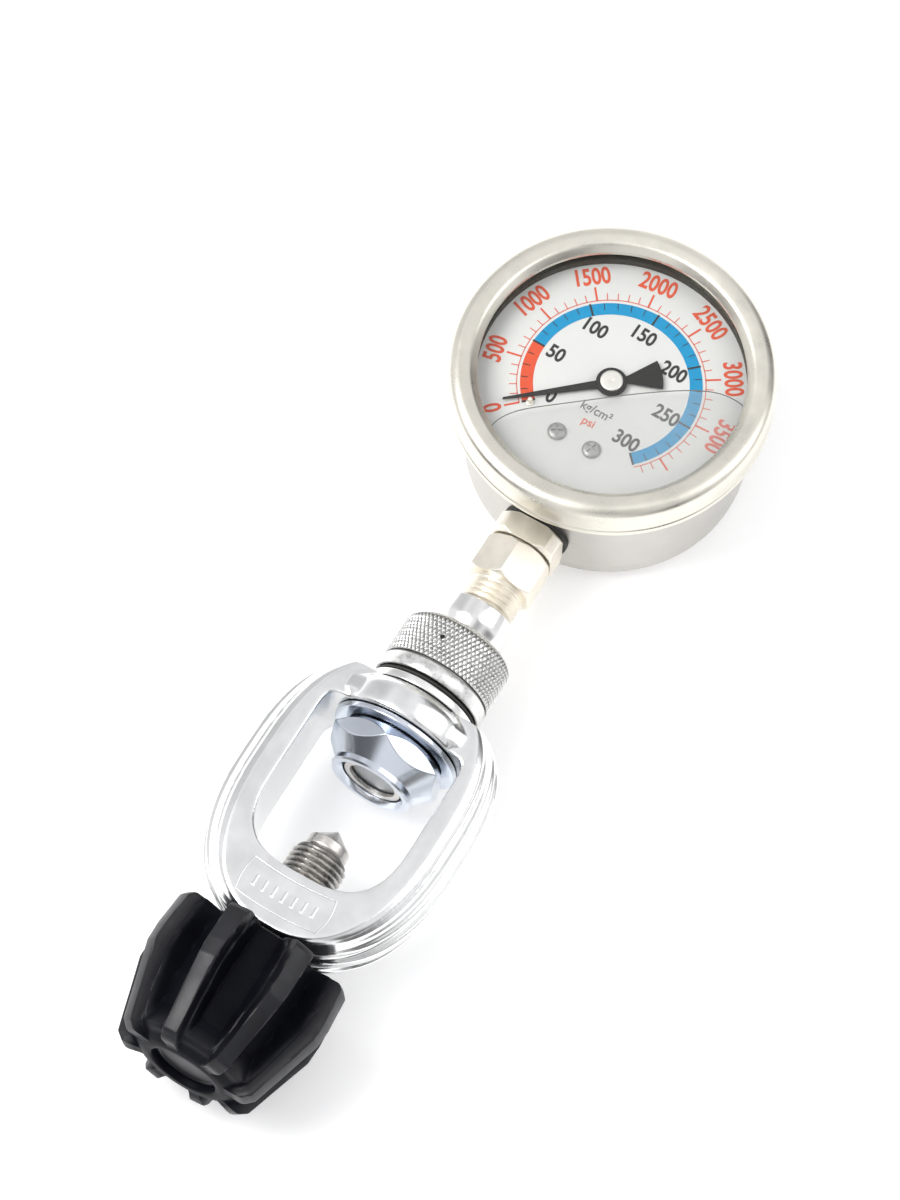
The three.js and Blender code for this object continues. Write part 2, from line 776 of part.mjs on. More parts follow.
// Eight flat ridges round a barrel that is widest at the knee and narrows to both ends.
function knobBody() {
  const rings = [
    { y: knobEnd, crest: 14.5, valley: 11.5 },
    { y: knobEnd + 1.5, crest: 16.5, valley: 12.5 },
    { y: knobEnd + 17, crest: 21.3, valley: 15.2 },
    { y: knobEnd + 22, crest: 21.3, valley: 15.6 },
    { y: knobStart - 1.2, crest: 20.6, valley: 15.8 },
    { y: knobStart, crest: 19.6, valley: 15.2 },
  ];
  const ridgeShares = 2; // of each ridge's four corners, the first two are on its crest
  const shares = [0, 0.28, 0.44, 0.84];
  const perRing = ridgeCount * shares.length;
  const positions = [];
  for (const { y, crest, valley } of rings)
    for (let i = 0; i < perRing; i++) {
      const place = i % shares.length;
      const turn = (Math.floor(i / shares.length) + shares[place] - shares[1] / 2) / ridgeCount;
      const radius = place < ridgeShares ? crest : valley;
      positions.push(radius * Math.sin(turn * 2 * Math.PI), y, radius * Math.cos(turn * 2 * Math.PI));
    }
  const index = [];
  for (let row = 0; row < rings.length - 1; row++)
    for (let i = 0; i < perRing; i++) {
      const next = (i + 1) % perRing;
      const low = row * perRing;
      const high = low + perRing;
      index.push(low + i, low + next, high + next, low + i, high + next, high + i);
    }
  positions.push(0, knobEnd, 0, 0, knobStart, 0);
  const endCentre = perRing * rings.length;
  const startCentre = endCentre + 1;
  const startRing = endCentre - perRing;
  for (let i = 0; i < perRing; i++) {
    const next = (i + 1) % perRing;
    index.push(endCentre, next, i);
    index.push(startCentre, startRing + i, startRing + next);
  }
  const barrel = new THREE.BufferGeometry();
  barrel.setAttribute("position", new THREE.Float32BufferAttribute(positions, 3));
  barrel.setIndex(index);
  const pocket = rod(insertRadius + clearance, insertEnd - clearance, insertTop + clearance);
  const screwHoleInKnob = rod(screwRadius + clearance, insertTop - 1, knobStart + 1);
  const endRecess = rod(recessRadius, knobEnd - 1, insertEnd, 32);
  return cut(barrel, pocket, screwHoleInKnob, endRecess);
}

add(stemLine, "knob", knobBody(), blackPlastic);
const plugEnd = knobEnd + 1.8;
const knobPlug = rod(recessRadius - clearance, plugEnd, insertEnd - 2 * clearance, 32);
add(stemLine, "knob_end_plug", knobPlug, blackPlastic);

export default object;
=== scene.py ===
import json
import math
import bmesh
import bpy
import numpy as np
from mathutils import Matrix, Vector


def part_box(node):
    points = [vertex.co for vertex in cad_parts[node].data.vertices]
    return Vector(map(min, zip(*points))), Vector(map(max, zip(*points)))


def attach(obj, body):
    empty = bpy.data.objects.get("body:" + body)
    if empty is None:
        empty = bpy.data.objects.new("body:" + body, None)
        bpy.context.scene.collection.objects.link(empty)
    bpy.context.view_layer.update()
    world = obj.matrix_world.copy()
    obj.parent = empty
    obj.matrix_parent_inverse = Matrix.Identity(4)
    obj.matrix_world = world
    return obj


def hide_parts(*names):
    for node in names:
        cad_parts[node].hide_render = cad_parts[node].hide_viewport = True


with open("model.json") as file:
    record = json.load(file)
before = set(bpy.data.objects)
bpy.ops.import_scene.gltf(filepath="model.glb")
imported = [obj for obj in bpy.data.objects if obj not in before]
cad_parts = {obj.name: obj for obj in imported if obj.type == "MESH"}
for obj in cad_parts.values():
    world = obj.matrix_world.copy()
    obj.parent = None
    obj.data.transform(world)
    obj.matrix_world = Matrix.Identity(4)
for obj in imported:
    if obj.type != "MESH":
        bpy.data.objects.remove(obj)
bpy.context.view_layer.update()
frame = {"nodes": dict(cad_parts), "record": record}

# Looks of a yoke-clamp cylinder pressure checker. Meshes are worked out in millimetres and stored in metres.
MM = 0.001
RECORD = frame["record"]
SLOT_OF = {part["node"]: part["material_slot"] for part in RECORD["subparts"]}
BODY_OF = {node: body for body, nodes in RECORD["behaviour"]["bodies"].items() for node in nodes}


def low(node):
    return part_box(node)[0] / MM


def high(node):
    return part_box(node)[1] / MM


def span(node, axis="y"):
    """Where a node starts and ends along an axis."""
    return getattr(low(node), axis), getattr(high(node), axis)


def middle(node):
    """The centre of a node's box, as x, y and z."""
    return [(a + b) / 2 for a, b in zip(low(node), high(node))]


# ---------- places that several pieces share, in mm ----------

STEM_Z = middle("outlet_stem")[2]
GAUGE_TOP = high("bezel_ring").z
BEZEL_RADIUS = high("bezel_ring").x
CASE_RADIUS = 30.25  # the cup below its rim, which is wider
DIAL_TOP = high("dial_plate").z
WINDOW_LOW, WINDOW_HIGH = span("window", "z")
YOKE_FACE = 9.5  # half the yoke's thickness between its flat faces


# ---------- mesh helpers ----------

def add_object(name, data):
    """A new object in the scene."""
    obj = bpy.data.objects.new(name, data)
    bpy.context.scene.collection.objects.link(obj)
    return obj


def add_mesh(name, bm):
    """A new object from a bmesh, which is freed."""
    mesh = bpy.data.meshes.new(name)
    bm.to_mesh(mesh)
    bm.free()
    return add_object(name, mesh)


def mesh_object(name, bm, smooth_angle=35):
    """A mesh object from a bmesh in mm, with outward normals and soft shading up to an angle."""
    bmesh.ops.remove_doubles(bm, verts=bm.verts, dist=0.0005)
    loose = [v for v in bm.verts if not v.link_faces]
    bmesh.ops.delete(bm, geom=loose, context="VERTS")
    wires = [e for e in bm.edges if not e.link_faces]
    bmesh.ops.delete(bm, geom=wires, context="EDGES")
    bmesh.ops.recalc_face_normals(bm, faces=bm.faces)
    bmesh.ops.scale(bm, vec=(MM, MM, MM), verts=bm.verts)
    obj = add_mesh(name, bm)
    shade(obj, smooth_angle)
    return obj


def shade(obj, smooth_angle=35):
    obj.data.shade_smooth()
    obj.data.set_sharp_from_angle(angle=math.radians(smooth_angle))


def rounded(points, corner):
    """A closed outline with each corner eased by a short curve. A point may carry its own corner size."""
    steps = 4
    spots = [Vector(p[:2]) for p in points]
    sizes = [p[2] if len(p) > 2 else corner for p in points]
    out = []
    for i, spot in enumerate(spots):
        to_before = spots[i - 1] - spot
        to_after = spots[(i + 1) % len(spots)] - spot
        reach = min(sizes[i], 0.45 * to_before.length, 0.45 * to_after.length)
        if reach < 1e-4 or spot.x == 0:
            out.append(tuple(spot))
            continue
        start = spot + to_before.normalized() * reach
        end = spot + to_after.normalized() * reach
        for k in range(steps + 1):
            t = k / steps
            out.append(tuple(start * (1 - t) ** 2 + spot * 2 * t * (1 - t) + end * t * t))
    return out


def rectangle(x0, x1, y0, y1):
    return [(x0, y0), (x1, y0), (x1, y1), (x0, y1)]


def point_on(axis, radius, turn, station):
    """A point in mm: about the stem line with the turn measured from +Z, or about the gauge axis from +X."""
    if axis == "stem":
        return radius * math.sin(turn), station, STEM_Z + radius * math.cos(turn)
    return radius * math.cos(turn), radius * math.sin(turn), station


def bridge(bm, rows):
    """Faces between each row of vertices and the next."""
    for lower, upper in zip(rows, rows[1:]):
        for i in range(len(lower)):
            j = (i + 1) % len(lower)
            bm.faces.new((lower[i], lower[j], upper[j], upper[i]))


def stack(name, rings, axis="stem", closed=True, smooth_angle=35, segments=1):
    """A body from rings of (radii, stations), each one value for all or one for each step round the axis."""
    segments = max(segments, *(np.size(value) for ring in rings for value in ring))
    bm = bmesh.new()
    rows = []
    for ring in rings:
        radii, stations = (np.broadcast_to(value, segments) for value in ring)
        rows.append([
            bm.verts.new(point_on(axis, float(radii[i]), 2 * math.pi * i / segments, float(stations[i])))
            for i in range(segments)
        ])
    bridge(bm, rows + rows[:1] if closed else rows)
    if not closed:
        bm.faces.new(rows[0])
        bm.faces.new(rows[-1])
    return mesh_object(name, bm, smooth_angle)


def turned(name, profile, axis="stem", segments=128, corner=0.15, smooth_angle=35):
    """A body of revolution from a closed profile of (radius, station) points with eased corners."""
    return stack(name, rounded(profile, corner), axis, True, smooth_angle, segments)


def prism_bmesh(outline, bottom, top):
    bm = bmesh.new()
    rows = [[bm.verts.new((x, y, z)) for x, y in outline] for z in (bottom, top)]
    for row in rows:
        bm.faces.new(row)
    bridge(bm, rows)
    return bm


def prism(name, outline, bottom, top, bevel=0.0):
    """A flat plate from an outline in mm, with its sharp edges eased if a bevel is given."""
    obj = mesh_object(name, prism_bmesh(outline, bottom, top))
    if bevel:
        apply(obj, "BEVEL", width=bevel * MM, segments=2, limit_method="ANGLE", angle_limit=math.radians(50))
        shade(obj)
    return obj


def apply(obj, kind, **settings):
    """Adds one modifier, applies it and leaves the plain mesh."""
    modifier = obj.modifiers.new(kind.lower(), kind)
    for key, value in settings.items():
        setattr(modifier, key, value)
    graph = bpy.context.evaluated_depsgraph_get()
    graph.update()
    made = bpy.data.meshes.new_from_object(obj.evaluated_get(graph))
    obj.modifiers.clear()
    old = obj.data
    obj.data = made
    bpy.data.meshes.remove(old)


def carve(obj, *tools, smooth_angle=35):
    """Cuts the tools out of the object and removes them."""
    for tool in tools:
        apply(obj, "BOOLEAN", operation="DIFFERENCE", object=tool, solver="EXACT")
        bpy.data.objects.remove(tool)
    shade(obj, smooth_angle)


def shift(obj, x, y, z):
    obj.data.transform(Matrix.Translation((x * MM, y * MM, z * MM)))


def merge(name, objects):
    """One mesh object from several, which are removed."""
    bm = bmesh.new()
    for obj in objects:
        part = obj.data.copy()
        part.transform(obj.matrix_world)
        bm.from_mesh(part)
        bpy.data.meshes.remove(part)
        bpy.data.objects.remove(obj)
    return add_mesh(name, bm)


# ---------- material helpers ----------

def set_inputs(node, values):
    """Sets inputs by name, with an underscore for each space in the name."""
    for key, value in values.items():
        node.inputs[key.replace("_", " ")].default_value = value


class Nodes:
    """A node tree, with short calls for the nodes used here."""

    def __init__(self, tree, coordinates):
        self.tree = tree
        self.coordinates = self.new("TexCoord").outputs[coordinates]

    def new(self, kind, **inputs):
        """A node with some of its inputs set."""
        node = self.tree.nodes.new("ShaderNode" + kind)
        set_inputs(node, inputs)
        return node

    def link(self, source, target):
        self.tree.links.new(source, target)

    def math(self, operation, first, second=0.0):
        node = self.new("Math")
        node.operation = operation
        for socket, value in zip(node.inputs, (first, second)):
            if isinstance(value, bpy.types.NodeSocket):
                self.link(value, socket)
            else:
                socket.default_value = value
        return node.outputs[0]

    def plus(self, first, second):
        return self.math("ADD", first, second)

    def times(self, first, second):
        return self.math("MULTIPLY", first, second)

    def split(self):
        """The three parts of the coordinates."""
        node = self.new("SeparateXYZ")
        self.link(self.coordinates, node.inputs[0])
        return node.outputs

    def noise(self, scale, detail=3.0, roughness=0.55, vector=None):
        node = self.new("TexNoise", Scale=scale, Detail=detail, Roughness=roughness)
        self.link(vector or self.coordinates, node.inputs["Vector"])
        return node.outputs["Fac"]

    def ramp(self, factor, *stops):
        """Colour stops as (place, colour)."""
        node = self.new("ValToRGB")
        elements = node.color_ramp.elements
        while len(elements) < len(stops):
            elements.new(0.5)
        for element, (place, colour) in zip(elements, stops):
            element.position = place
            element.color = (*colour, 1)
        self.link(factor, node.inputs[0])
        return node.outputs[0]

    def spread(self, factor, lowest, highest, start=0.35, stop=0.65):
        """Maps the range from start to stop onto lowest to highest."""
        node = self.new("MapRange", From_Min=start, From_Max=stop, To_Min=lowest, To_Max=highest)
        self.link(factor, node.inputs["Value"])
        return node.outputs[0]


class Finish(Nodes):
    """The nodes of one material."""

    def __init__(self, name):
        self.material = bpy.data.materials.new(name)
        self.material.use_nodes = True
        super().__init__(self.material.node_tree, "Object")
        self.shader = self.tree.nodes["Principled BSDF"]

    def feed(self, name, source):
        """Links a socket to one of the shader's inputs."""
        self.link(source, self.shader.inputs[name])

    def set(self, **values):
        set_inputs(self.shader, values)

    def tint(self, factor, colour, variation, margin=0.3):
        """A base colour that runs from a darker to a lighter version of one colour."""
        darker = [c * (1 - variation) for c in colour]
        lighter = [min(1, c * (1 + variation)) for c in colour]
        self.feed("Base Color", self.ramp(factor, (margin, darker), (1 - margin, lighter)))

    def around(self, axis):
        """Distance along an axis, distance from it and angle round it, in metres and radians."""
        across, along, up = self.split()
        if axis == "stem":
            up = self.math("SUBTRACT", up, STEM_Z * MM)
        else:
            along, up = up, along
        square = self.plus(self.times(across, across), self.times(up, up))
        return along, self.math("SQRT", square), self.math("ARCTAN2", across, up)

    def turning_marks(self, axis):
        """Noise stretched round an axis."""
        along, radius, angle = self.around(axis)
        join = self.new("CombineXYZ")
        for source, scale, target in zip((radius, along, angle), (5200, 5200, 0.7), join.inputs):
            self.link(self.times(source, scale), target)
        return self.noise(1.0, 3, 0.7, join.outputs[0])

    def bump(self, height, strength, distance):
        node = self.new("Bump", Strength=strength, Distance=distance)
        self.link(height, node.inputs["Height"])
        self.feed("Normal", node.outputs[0])

    def mix_surfaces(self, share, first, second):
        """A mix of two shaders in place of the principled one."""
        mix = self.new("MixShader")
        for source, target in zip((share, first.outputs[0], second.outputs[0]), mix.inputs):
            self.link(source, target)
        self.link(mix.outputs[0], self.tree.nodes["Material Output"].inputs["Surface"])
        self.tree.nodes.remove(self.shader)


def metal(name, colour, roughness, axis=None, marks=0.1, grain=0.04, variation=0.05):
    """Bare or plated metal: turning marks round its axis, small scratches, and patches of duller finish."""
    nodes = Finish(name)
    nodes.set(Metallic=1.0)
    patches = nodes.noise(120, 4, 0.6)
    nodes.tint(patches, colour, variation, 0.35)
    fine = nodes.noise(2600, 2, 0.6)
    wear = nodes.plus(nodes.spread(patches, 0, roughness * 0.35), nodes.spread(fine, 0, roughness * 0.25))
    nodes.feed("Roughness", nodes.plus(wear, roughness))
    height = nodes.times(fine, grain)
    if axis:
        height = nodes.plus(height, nodes.times(nodes.turning_marks(axis), marks))
    nodes.bump(height, 0.6, 0.00006)
    return nodes.material


def forged_plate(name, colour, roughness):
    """Plated forging: soft waves left by polishing under a bright skin, and fine pitting."""
    nodes = Finish(name)
    nodes.set(Metallic=1.0)
    patches = nodes.noise(160, 4, 0.6)
    nodes.tint(patches, colour, 0.05)
    nodes.feed("Roughness", nodes.spread(patches, roughness * 0.9, roughness * 1.2))
    waves = nodes.noise(260, 2, 0.5)
    pits = nodes.noise(1500, 3, 0.6)
    nodes.bump(nodes.plus(waves, nodes.times(pits, 0.12)), 0.22, 0.0001)
    return nodes.material


def knurled_metal(name, colour, crest_radius, depth):
    """Knurled or threaded metal with painted shade: the grooves are painted in a darker copy of the colour
    by distance from the stem axis, under the bright crests, and random wear varies the tone.
    """
    nodes = Finish(name)
    nodes.set(Metallic=1.0)
    radius = nodes.around("stem")[1]
    root = crest_radius - depth
    height = nodes.spread(radius, 0, 1, root * MM, crest_radius * MM)
    wear = nodes.noise(900, 3, 0.6)
    plain = nodes.spread(radius, 1, 0, (root - 0.7) * MM, (root - 0.3) * MM)
    shade_and_wear = nodes.plus(nodes.math("MAXIMUM", height, plain), nodes.spread(wear, -0.12, 0.12))
    # painted shade: the grooves take the colour at three tenths, as shade that falls in them
    groove = tuple(c * 0.3 for c in colour)
    nodes.feed("Base Color", nodes.ramp(shade_and_wear, (0.1, groove), (0.75, colour)))
    nodes.feed("Roughness", nodes.spread(wear, 0.24, 0.38))
    nodes.bump(nodes.noise(2600, 2, 0.6), 0.3, 0.00004)
    return nodes.material


def rubber(name, colour):
    nodes = Finish(name)
    patches = nodes.noise(500, 4, 0.6)
    nodes.tint(patches, colour, 0.3)
    nodes.feed("Roughness", nodes.spread(patches, 0.55, 0.8))
    nodes.bump(nodes.noise(3000, 3, 0.6), 0.4, 0.00006)
    return nodes.material


def moulded_plastic(name):
    """Nodes of black nylon: fine spark-eroded grain, slightly polished patches and a cool sheen."""
    nodes = Finish(name)
    patches = nodes.noise(110, 4, 0.6)
    cool_black = nodes.ramp(patches, (0.3, (0.004, 0.0042, 0.0065)), (0.7, (0.007, 0.0075, 0.011)))
    nodes.feed("Base Color", cool_black)
    nodes.feed("Roughness", nodes.spread(patches, 0.3, 0.44))
    nodes.set(Specular_IOR_Level=0.38)
    grain = nodes.noise(3400, 3, 0.65)
    nodes.bump(nodes.plus(grain, nodes.times(nodes.noise(420, 2), 0.5)), 0.35, 0.00007)
    return nodes


def dial_paint(name):
    """White dial enamel with a faint silver cast and a fine egg-shell surface."""
    nodes = Finish(name)
    patches = nodes.noise(45, 3, 0.5)
    nodes.feed("Base Color", nodes.ramp(patches, (0.3, (0.78, 0.78, 0.755)), (0.7, (0.83, 0.83, 0.80))))
    nodes.feed("Roughness", nodes.spread(nodes.noise(900, 3), 0.4, 0.55))
    nodes.bump(nodes.noise(2500, 2), 0.15, 0.00004)
    return nodes.material


def ink(name, colour, variation=0.08):
    """Screen-printed ink with slightly uneven cover."""
    nodes = Finish(name)
    cover = nodes.noise(1400, 4, 0.6)
    nodes.tint(cover, colour, variation)
    nodes.feed("Roughness", nodes.spread(cover, 0.4, 0.55))
    nodes.set(Specular_IOR_Level=0.2)
    nodes.bump(cover, 0.1, 0.00003)
    return nodes.material


def hazy_liquid(name, tint, veil):
    """Clear liquid behind a window: transparent, with a thin uneven haze."""
    nodes = Finish(name)
    clear = nodes.new("BsdfTransparent", Color=(*tint, 1))
    white = nodes.new("BsdfDiffuse", Color=(0.97, 0.97, 0.96, 1))
    haze = nodes.spread(nodes.noise(90, 4, 0.6), veil * 0.8, veil * 1.2)
    nodes.mix_surfaces(haze, clear, white)
    return nodes.material


def clear_sheet(name, tint, shine):
    """Clear plastic: transparent, with faint smudges and a shine that grows as it turns away."""
    nodes = Finish(name)
    clear = nodes.new("BsdfTransparent", Color=(*tint, 1))
    gloss = nodes.new("BsdfGlossy", Color=(shine, shine, shine, 1))
    smudges = nodes.noise(220, 4, 0.6)
    nodes.link(nodes.spread(smudges, 0.02, 0.07), gloss.inputs["Roughness"])
    facing = nodes.new("LayerWeight").outputs["Facing"]
    glancing = nodes.times(nodes.math("POWER", facing, 5.0), 0.8)
    nodes.mix_surfaces(nodes.plus(glancing, 0.03), clear, gloss)
    return nodes.material


MATERIALS = {
    "brushed_steel": metal("brushed_steel", (0.79, 0.76, 0.675), 0.25, "gauge", marks=0.25, grain=0.015),
    "chrome_plate": metal("chrome_plate", (0.90, 0.90, 0.885), 0.17, "stem", marks=0.2),
    "zinc_plate": metal("zinc_plate", (0.70, 0.745, 0.82), 0.13, "stem", marks=0.2),
    "nickel_plate": metal("nickel_plate", (0.93, 0.88, 0.78), 0.34, "stem", marks=0.1, grain=0.02),
    "turned_steel": metal("turned_steel", (0.68, 0.655, 0.62), 0.22, "stem", marks=0.6),
    "brass": metal("brass", (0.80, 0.61, 0.29), 0.25, "gauge", marks=0.3),
    "bronze": metal("bronze", (0.62, 0.42, 0.25), 0.42, grain=0.8, variation=0.15),
    "black_rubber": rubber("black_rubber", (0.03, 0.03, 0.027)),
    "black_plastic": moulded_plastic("black_plastic").material,
    "pointer_black": ink("pointer_black", (0.022, 0.021, 0.019), 0.2),
    "dial_white": dial_paint("dial_white"),
    "window_plastic": clear_sheet("window_plastic", (0.995, 0.997, 0.995), shine=0.7),
}
CASE_STEEL = metal("case_steel", (0.60, 0.585, 0.555), 0.33, "gauge", marks=0.4, grain=0.015)
FORGED = forged_plate("forged_chrome", (0.86, 0.865, 0.86), 0.2)
SCREW_GREY = metal("screw_grey", (0.44, 0.44, 0.42), 0.34, "gauge", marks=0.3)
RED_INK = ink("red_ink", (0.80, 0.115, 0.05))
BLACK_INK = ink("black_ink", (0.035, 0.034, 0.033))
GREY_INK = ink("grey_ink", (0.13, 0.13, 0.125))
BAND_BLUE = ink("band_blue", (0.0, 0.31, 0.60))
BAND_ORANGE = ink("band_orange", (0.82, 0.10, 0.035))
LIQUID = hazy_liquid("fill_liquid", (0.998, 0.998, 0.996), 0.09)


def paint(obj, material):
    obj.data.materials.clear()
    obj.data.materials.append(material)


def trim(obj, node, material):
    """A small extra piece that moves with the body of a CAD node."""
    paint(obj, material)
    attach(obj, BODY_OF[node])


def stands_for(obj, node, material=None):
    """obj is seen in place of a CAD node and moves with its body; unless given a material it is painted with
    the material of the node's slot.
    """
    slot = SLOT_OF[node]
    trim(obj, node, material or MATERIALS[slot])
    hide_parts(node)


for node_name, node_object in frame["nodes"].items():
    paint(node_object, MATERIALS[SLOT_OF[node_name]])


# ---------- gauge housing ----------

CASE_RIM_LOW = 29.6
CASE_RIM_HIGH = 30.6
CASE_RIM_RADIUS = 33
CASE_INSIDE = 29.45


def make_case():
    """The drawn cup, with a flat rim and a hole for the neck of the socket."""
    r = CASE_RADIUS
    case = turned("case_shell", [
        (0, 0), (r - 3.6, 0, 1), (r - 0.6, 0.7, 1.5), (r, 3.8, 1.5),
        (r, CASE_RIM_LOW, 0.2), (CASE_RIM_RADIUS, CASE_RIM_LOW, 0.2), (CASE_RIM_RADIUS, CASE_RIM_HIGH, 0.2),
        (CASE_INSIDE, CASE_RIM_HIGH, 0.2), (CASE_INSIDE, 3.6, 1.5), (28.4, 1.2, 1), (26, 0.8, 1), (0, 0.8),
    ], "gauge", 192)
    stem_hole = turned("stem_hole", rectangle(0, 5.7, -34, -24), corner=0, segments=64)
    carve(case, stem_hole)
    stands_for(case, "case_cup", CASE_STEEL)


def make_bezel():
    """The rolled bezel: crimped below, with a small groove round it, and turned in over the window."""
    top = GAUGE_TOP
    r = BEZEL_RADIUS
    bottom = low("bezel_ring").z
    lip = 28.0
    recess = 33.3
    seat = WINDOW_HIGH + 0.05
    bezel = turned("bezel", [
        (r - 3.3, bottom + 0.35, 0.15), (r - 2.7, bottom, 0.3), (r - 0.7, bottom, 0.6),
        (r, bottom + 0.9, 0.8), (r, bottom + 2.3, 0.3), (r - 0.3, bottom + 2.6, 0.2),
        (r - 0.3, bottom + 3.0, 0.2), (r, bottom + 3.3, 0.3), (r, top - 2.6, 1.4),
        (r - 0.55, top - 0.9, 0.9), (r - 2.2, top, 1.4), (r - 4.9, top - 0.35, 0.7),
        (28.55, top - 1.15, 0.25), (lip, top - 1.75, 0.12), (lip, seat, 0.03), (recess, seat, 0.03),
        (recess, bottom + 1.2, 0.1), (r - 3.3, bottom + 1.2, 0.1),
    ], "gauge", 256, smooth_angle=40)
    stands_for(bezel, "bezel_ring")


def make_window():
    """The clear disc, and the gasket under it with a lip that reaches down to the dial."""
    radius = 32.6
    window = turned("window_disc", [
        (0, WINDOW_LOW), (radius, WINDOW_LOW, 0.2), (radius, WINDOW_HIGH, 0.4), (0, WINDOW_HIGH),
    ], "gauge", 192)
    stands_for(window, "window")
    inner = 28.25
    lip = 29.3
    lip_low = DIAL_TOP + 0.08
    bottom = CASE_RIM_HIGH + 0.08
    top = 32.1
    gasket = turned("window_seal", [
        (inner, lip_low), (lip, lip_low), (lip, bottom), (radius, bottom), (radius, top), (inner, top),
    ], "gauge", 192, corner=0.12)
    stands_for(gasket, "window_gasket", OLIVE_RUBBER)


def make_filler_plug():
    """A rubber bung in the case's wall, with a flange outside and a dimple in its top."""
    height = middle("filler_plug")[2]
    top = high("filler_plug").y
    wall = CASE_RADIUS
    plug = turned("filler_bung", [
        (0, wall - 2.4), (3, wall - 2.4), (3, wall - 0.3), (4, wall - 0.3), (4, wall + 0.7, 0.4),
        (3.1, wall + 1.1, 0.3), (2.6, top, 0.4), (1.2, top, 0.2), (0.9, top - 0.7, 0.2), (0, top - 0.7),
    ], segments=64)
    shift(plug, 0, 0, height - STEM_Z)
    stands_for(plug, "filler_plug")


OLIVE_RUBBER = rubber("olive_rubber", (0.05, 0.048, 0.034))
make_case()
make_bezel()
make_window()
make_filler_plug()


# ---------- dial face and print ----------

PRINT = DIAL_TOP + 0.03  # underside of the ink
INK = 0.03  # its thickness
ZERO = 223.5  # dial angle of the zero mark, in degrees from +X
FULL_KG = 300  # the end of the scale
PER_KG = 270.0 / FULL_KG  # degrees of dial for each unit
PER_PSI = PER_KG / 14.2233
BAND_INNER = 16.3
BAND_OUTER = 19.0


def degrees_at(kg):
    return ZERO - kg * PER_KG


def degrees_at_psi(psi):
    return ZERO - psi * PER_PSI


def polar(radius, degrees):
    return radius * math.cos(math.radians(degrees)), radius * math.sin(math.radians(degrees))


def ring_sector(name, inner, outer, start, stop, steps):
    turns = [start + (stop - start) * i / steps for i in range(steps + 1)]
    outline = [polar(outer, t) for t in turns] + [polar(inner, t) for t in reversed(turns)]
    return prism(name, outline, PRINT, PRINT + INK)


def tick(inner, outer, degrees, width, lift=0.0):
    cos, sin = polar(1, degrees)
    half = width / 2
    outline = [
        (reach * cos - half * sin * side, reach * sin + half * cos * side)
        for reach, side in ((inner, -1), (inner, 1), (outer, 1), (outer, -1))
    ]
    return prism("tick", outline, PRINT + lift, PRINT + lift + INK)


def lettering(text, height, x, y, degrees, squeeze, weight):
    """Characters as thin solid print, centred on a place on the dial."""
    curve = bpy.data.curves.new("lettering", "FONT")
    curve.body = text
    curve.align_x = "CENTER"
    curve.align_y = "CENTER"
    curve.size = height * 1.4 * MM
    curve.offset = weight * MM
    curve.extrude = INK / 2 * MM
    curve.resolution_u = 4
    holder = add_object("lettering", curve)
    graph = bpy.context.evaluated_depsgraph_get()
    graph.update()
    mesh = bpy.data.meshes.new_from_object(holder.evaluated_get(graph))
    bpy.data.objects.remove(holder)
    xs = [v.co.x for v in mesh.vertices]
    ys = [v.co.y for v in mesh.vertices]
    centre = Matrix.Translation((-(min(xs) + max(xs)) / 2, -(min(ys) + max(ys)) / 2, 0))
    place = Matrix.Translation((x * MM, y * MM, (PRINT + INK / 2) * MM))
    turn = Matrix.Rotation(math.radians(degrees), 4, "Z")
    mesh.transform(place @ turn @ Matrix.Diagonal((squeeze, 1, 1, 1)) @ centre)
    return add_object("lettering", mesh)


def print_on_dial(obj, material):
    trim(obj, "dial_plate", material)


def make_dial():
    radius = high("dial_plate").x
    hole = 1.6
    bottom = DIAL_TOP - 0.5
    dial = turned("dial_disc", rectangle(hole, radius, bottom, DIAL_TOP), "gauge", 192, corner=0.06)
    stands_for(dial, "dial_plate")


def make_bands():
    change = degrees_at(50)
    orange = ring_sector("dial_band_low", BAND_INNER, BAND_OUTER, ZERO, change, 40)
    blue = ring_sector("dial_band_working", BAND_INNER, BAND_OUTER, change, degrees_at(FULL_KG), 160)
    print_on_dial(orange, BAND_ORANGE)
    print_on_dial(blue, BAND_BLUE)


def make_black_print():
    parts = []
    for kg in range(0, FULL_KG + 1, 10):
        inner, outer, width = (BAND_INNER, 19.15, 0.42) if kg % 50 == 0 else (17.4, 18.9, 0.18)
        parts.append(tick(inner, outer, degrees_at(kg), width, lift=INK * 1.5))
    for kg in range(0, FULL_KG + 1, 50):
        reach = 13.4 if kg else 12.8
        x, y = polar(reach, degrees_at(kg))
        parts.append(lettering(str(kg), 3.2, x, y, degrees=-1.5, squeeze=0.85, weight=0.12))
    print_on_dial(merge("dial_print_black", parts), BLACK_INK)


def make_red_print():
    last = FULL_KG * PER_KG / PER_PSI
    parts = [ring_sector("scale_arc", 19.6, 19.78, ZERO, degrees_at_psi(last), 120)]
    for psi in range(0, int(last) + 1, 100):
        outer, width = (22.9, 0.42) if psi % 500 == 0 else (21.3, 0.19)
        parts.append(tick(19.65, outer, degrees_at_psi(psi), width))
    for psi in range(0, 3501, 500):
        degrees = degrees_at_psi(psi)
        x, y = polar(25.5, degrees)
        parts.append(lettering(str(psi), 3.9, x, y, degrees=degrees - 90, squeeze=0.74, weight=0.13))
    print_on_dial(merge("dial_print_red", parts), RED_INK)


def make_unit_print():
    metric = lettering("kg/cm²", 2.1, 0.6, -7.3, degrees=0, squeeze=0.9, weight=0.04)
    print_on_dial(metric, GREY_INK)
    metric.name = "dial_unit_kg"
    imperial = lettering("psi", 1.9, 0.4, -10.4, degrees=0, squeeze=1.0, weight=0.04)
    print_on_dial(imperial, RED_INK)
    imperial.name = "dial_unit_psi"


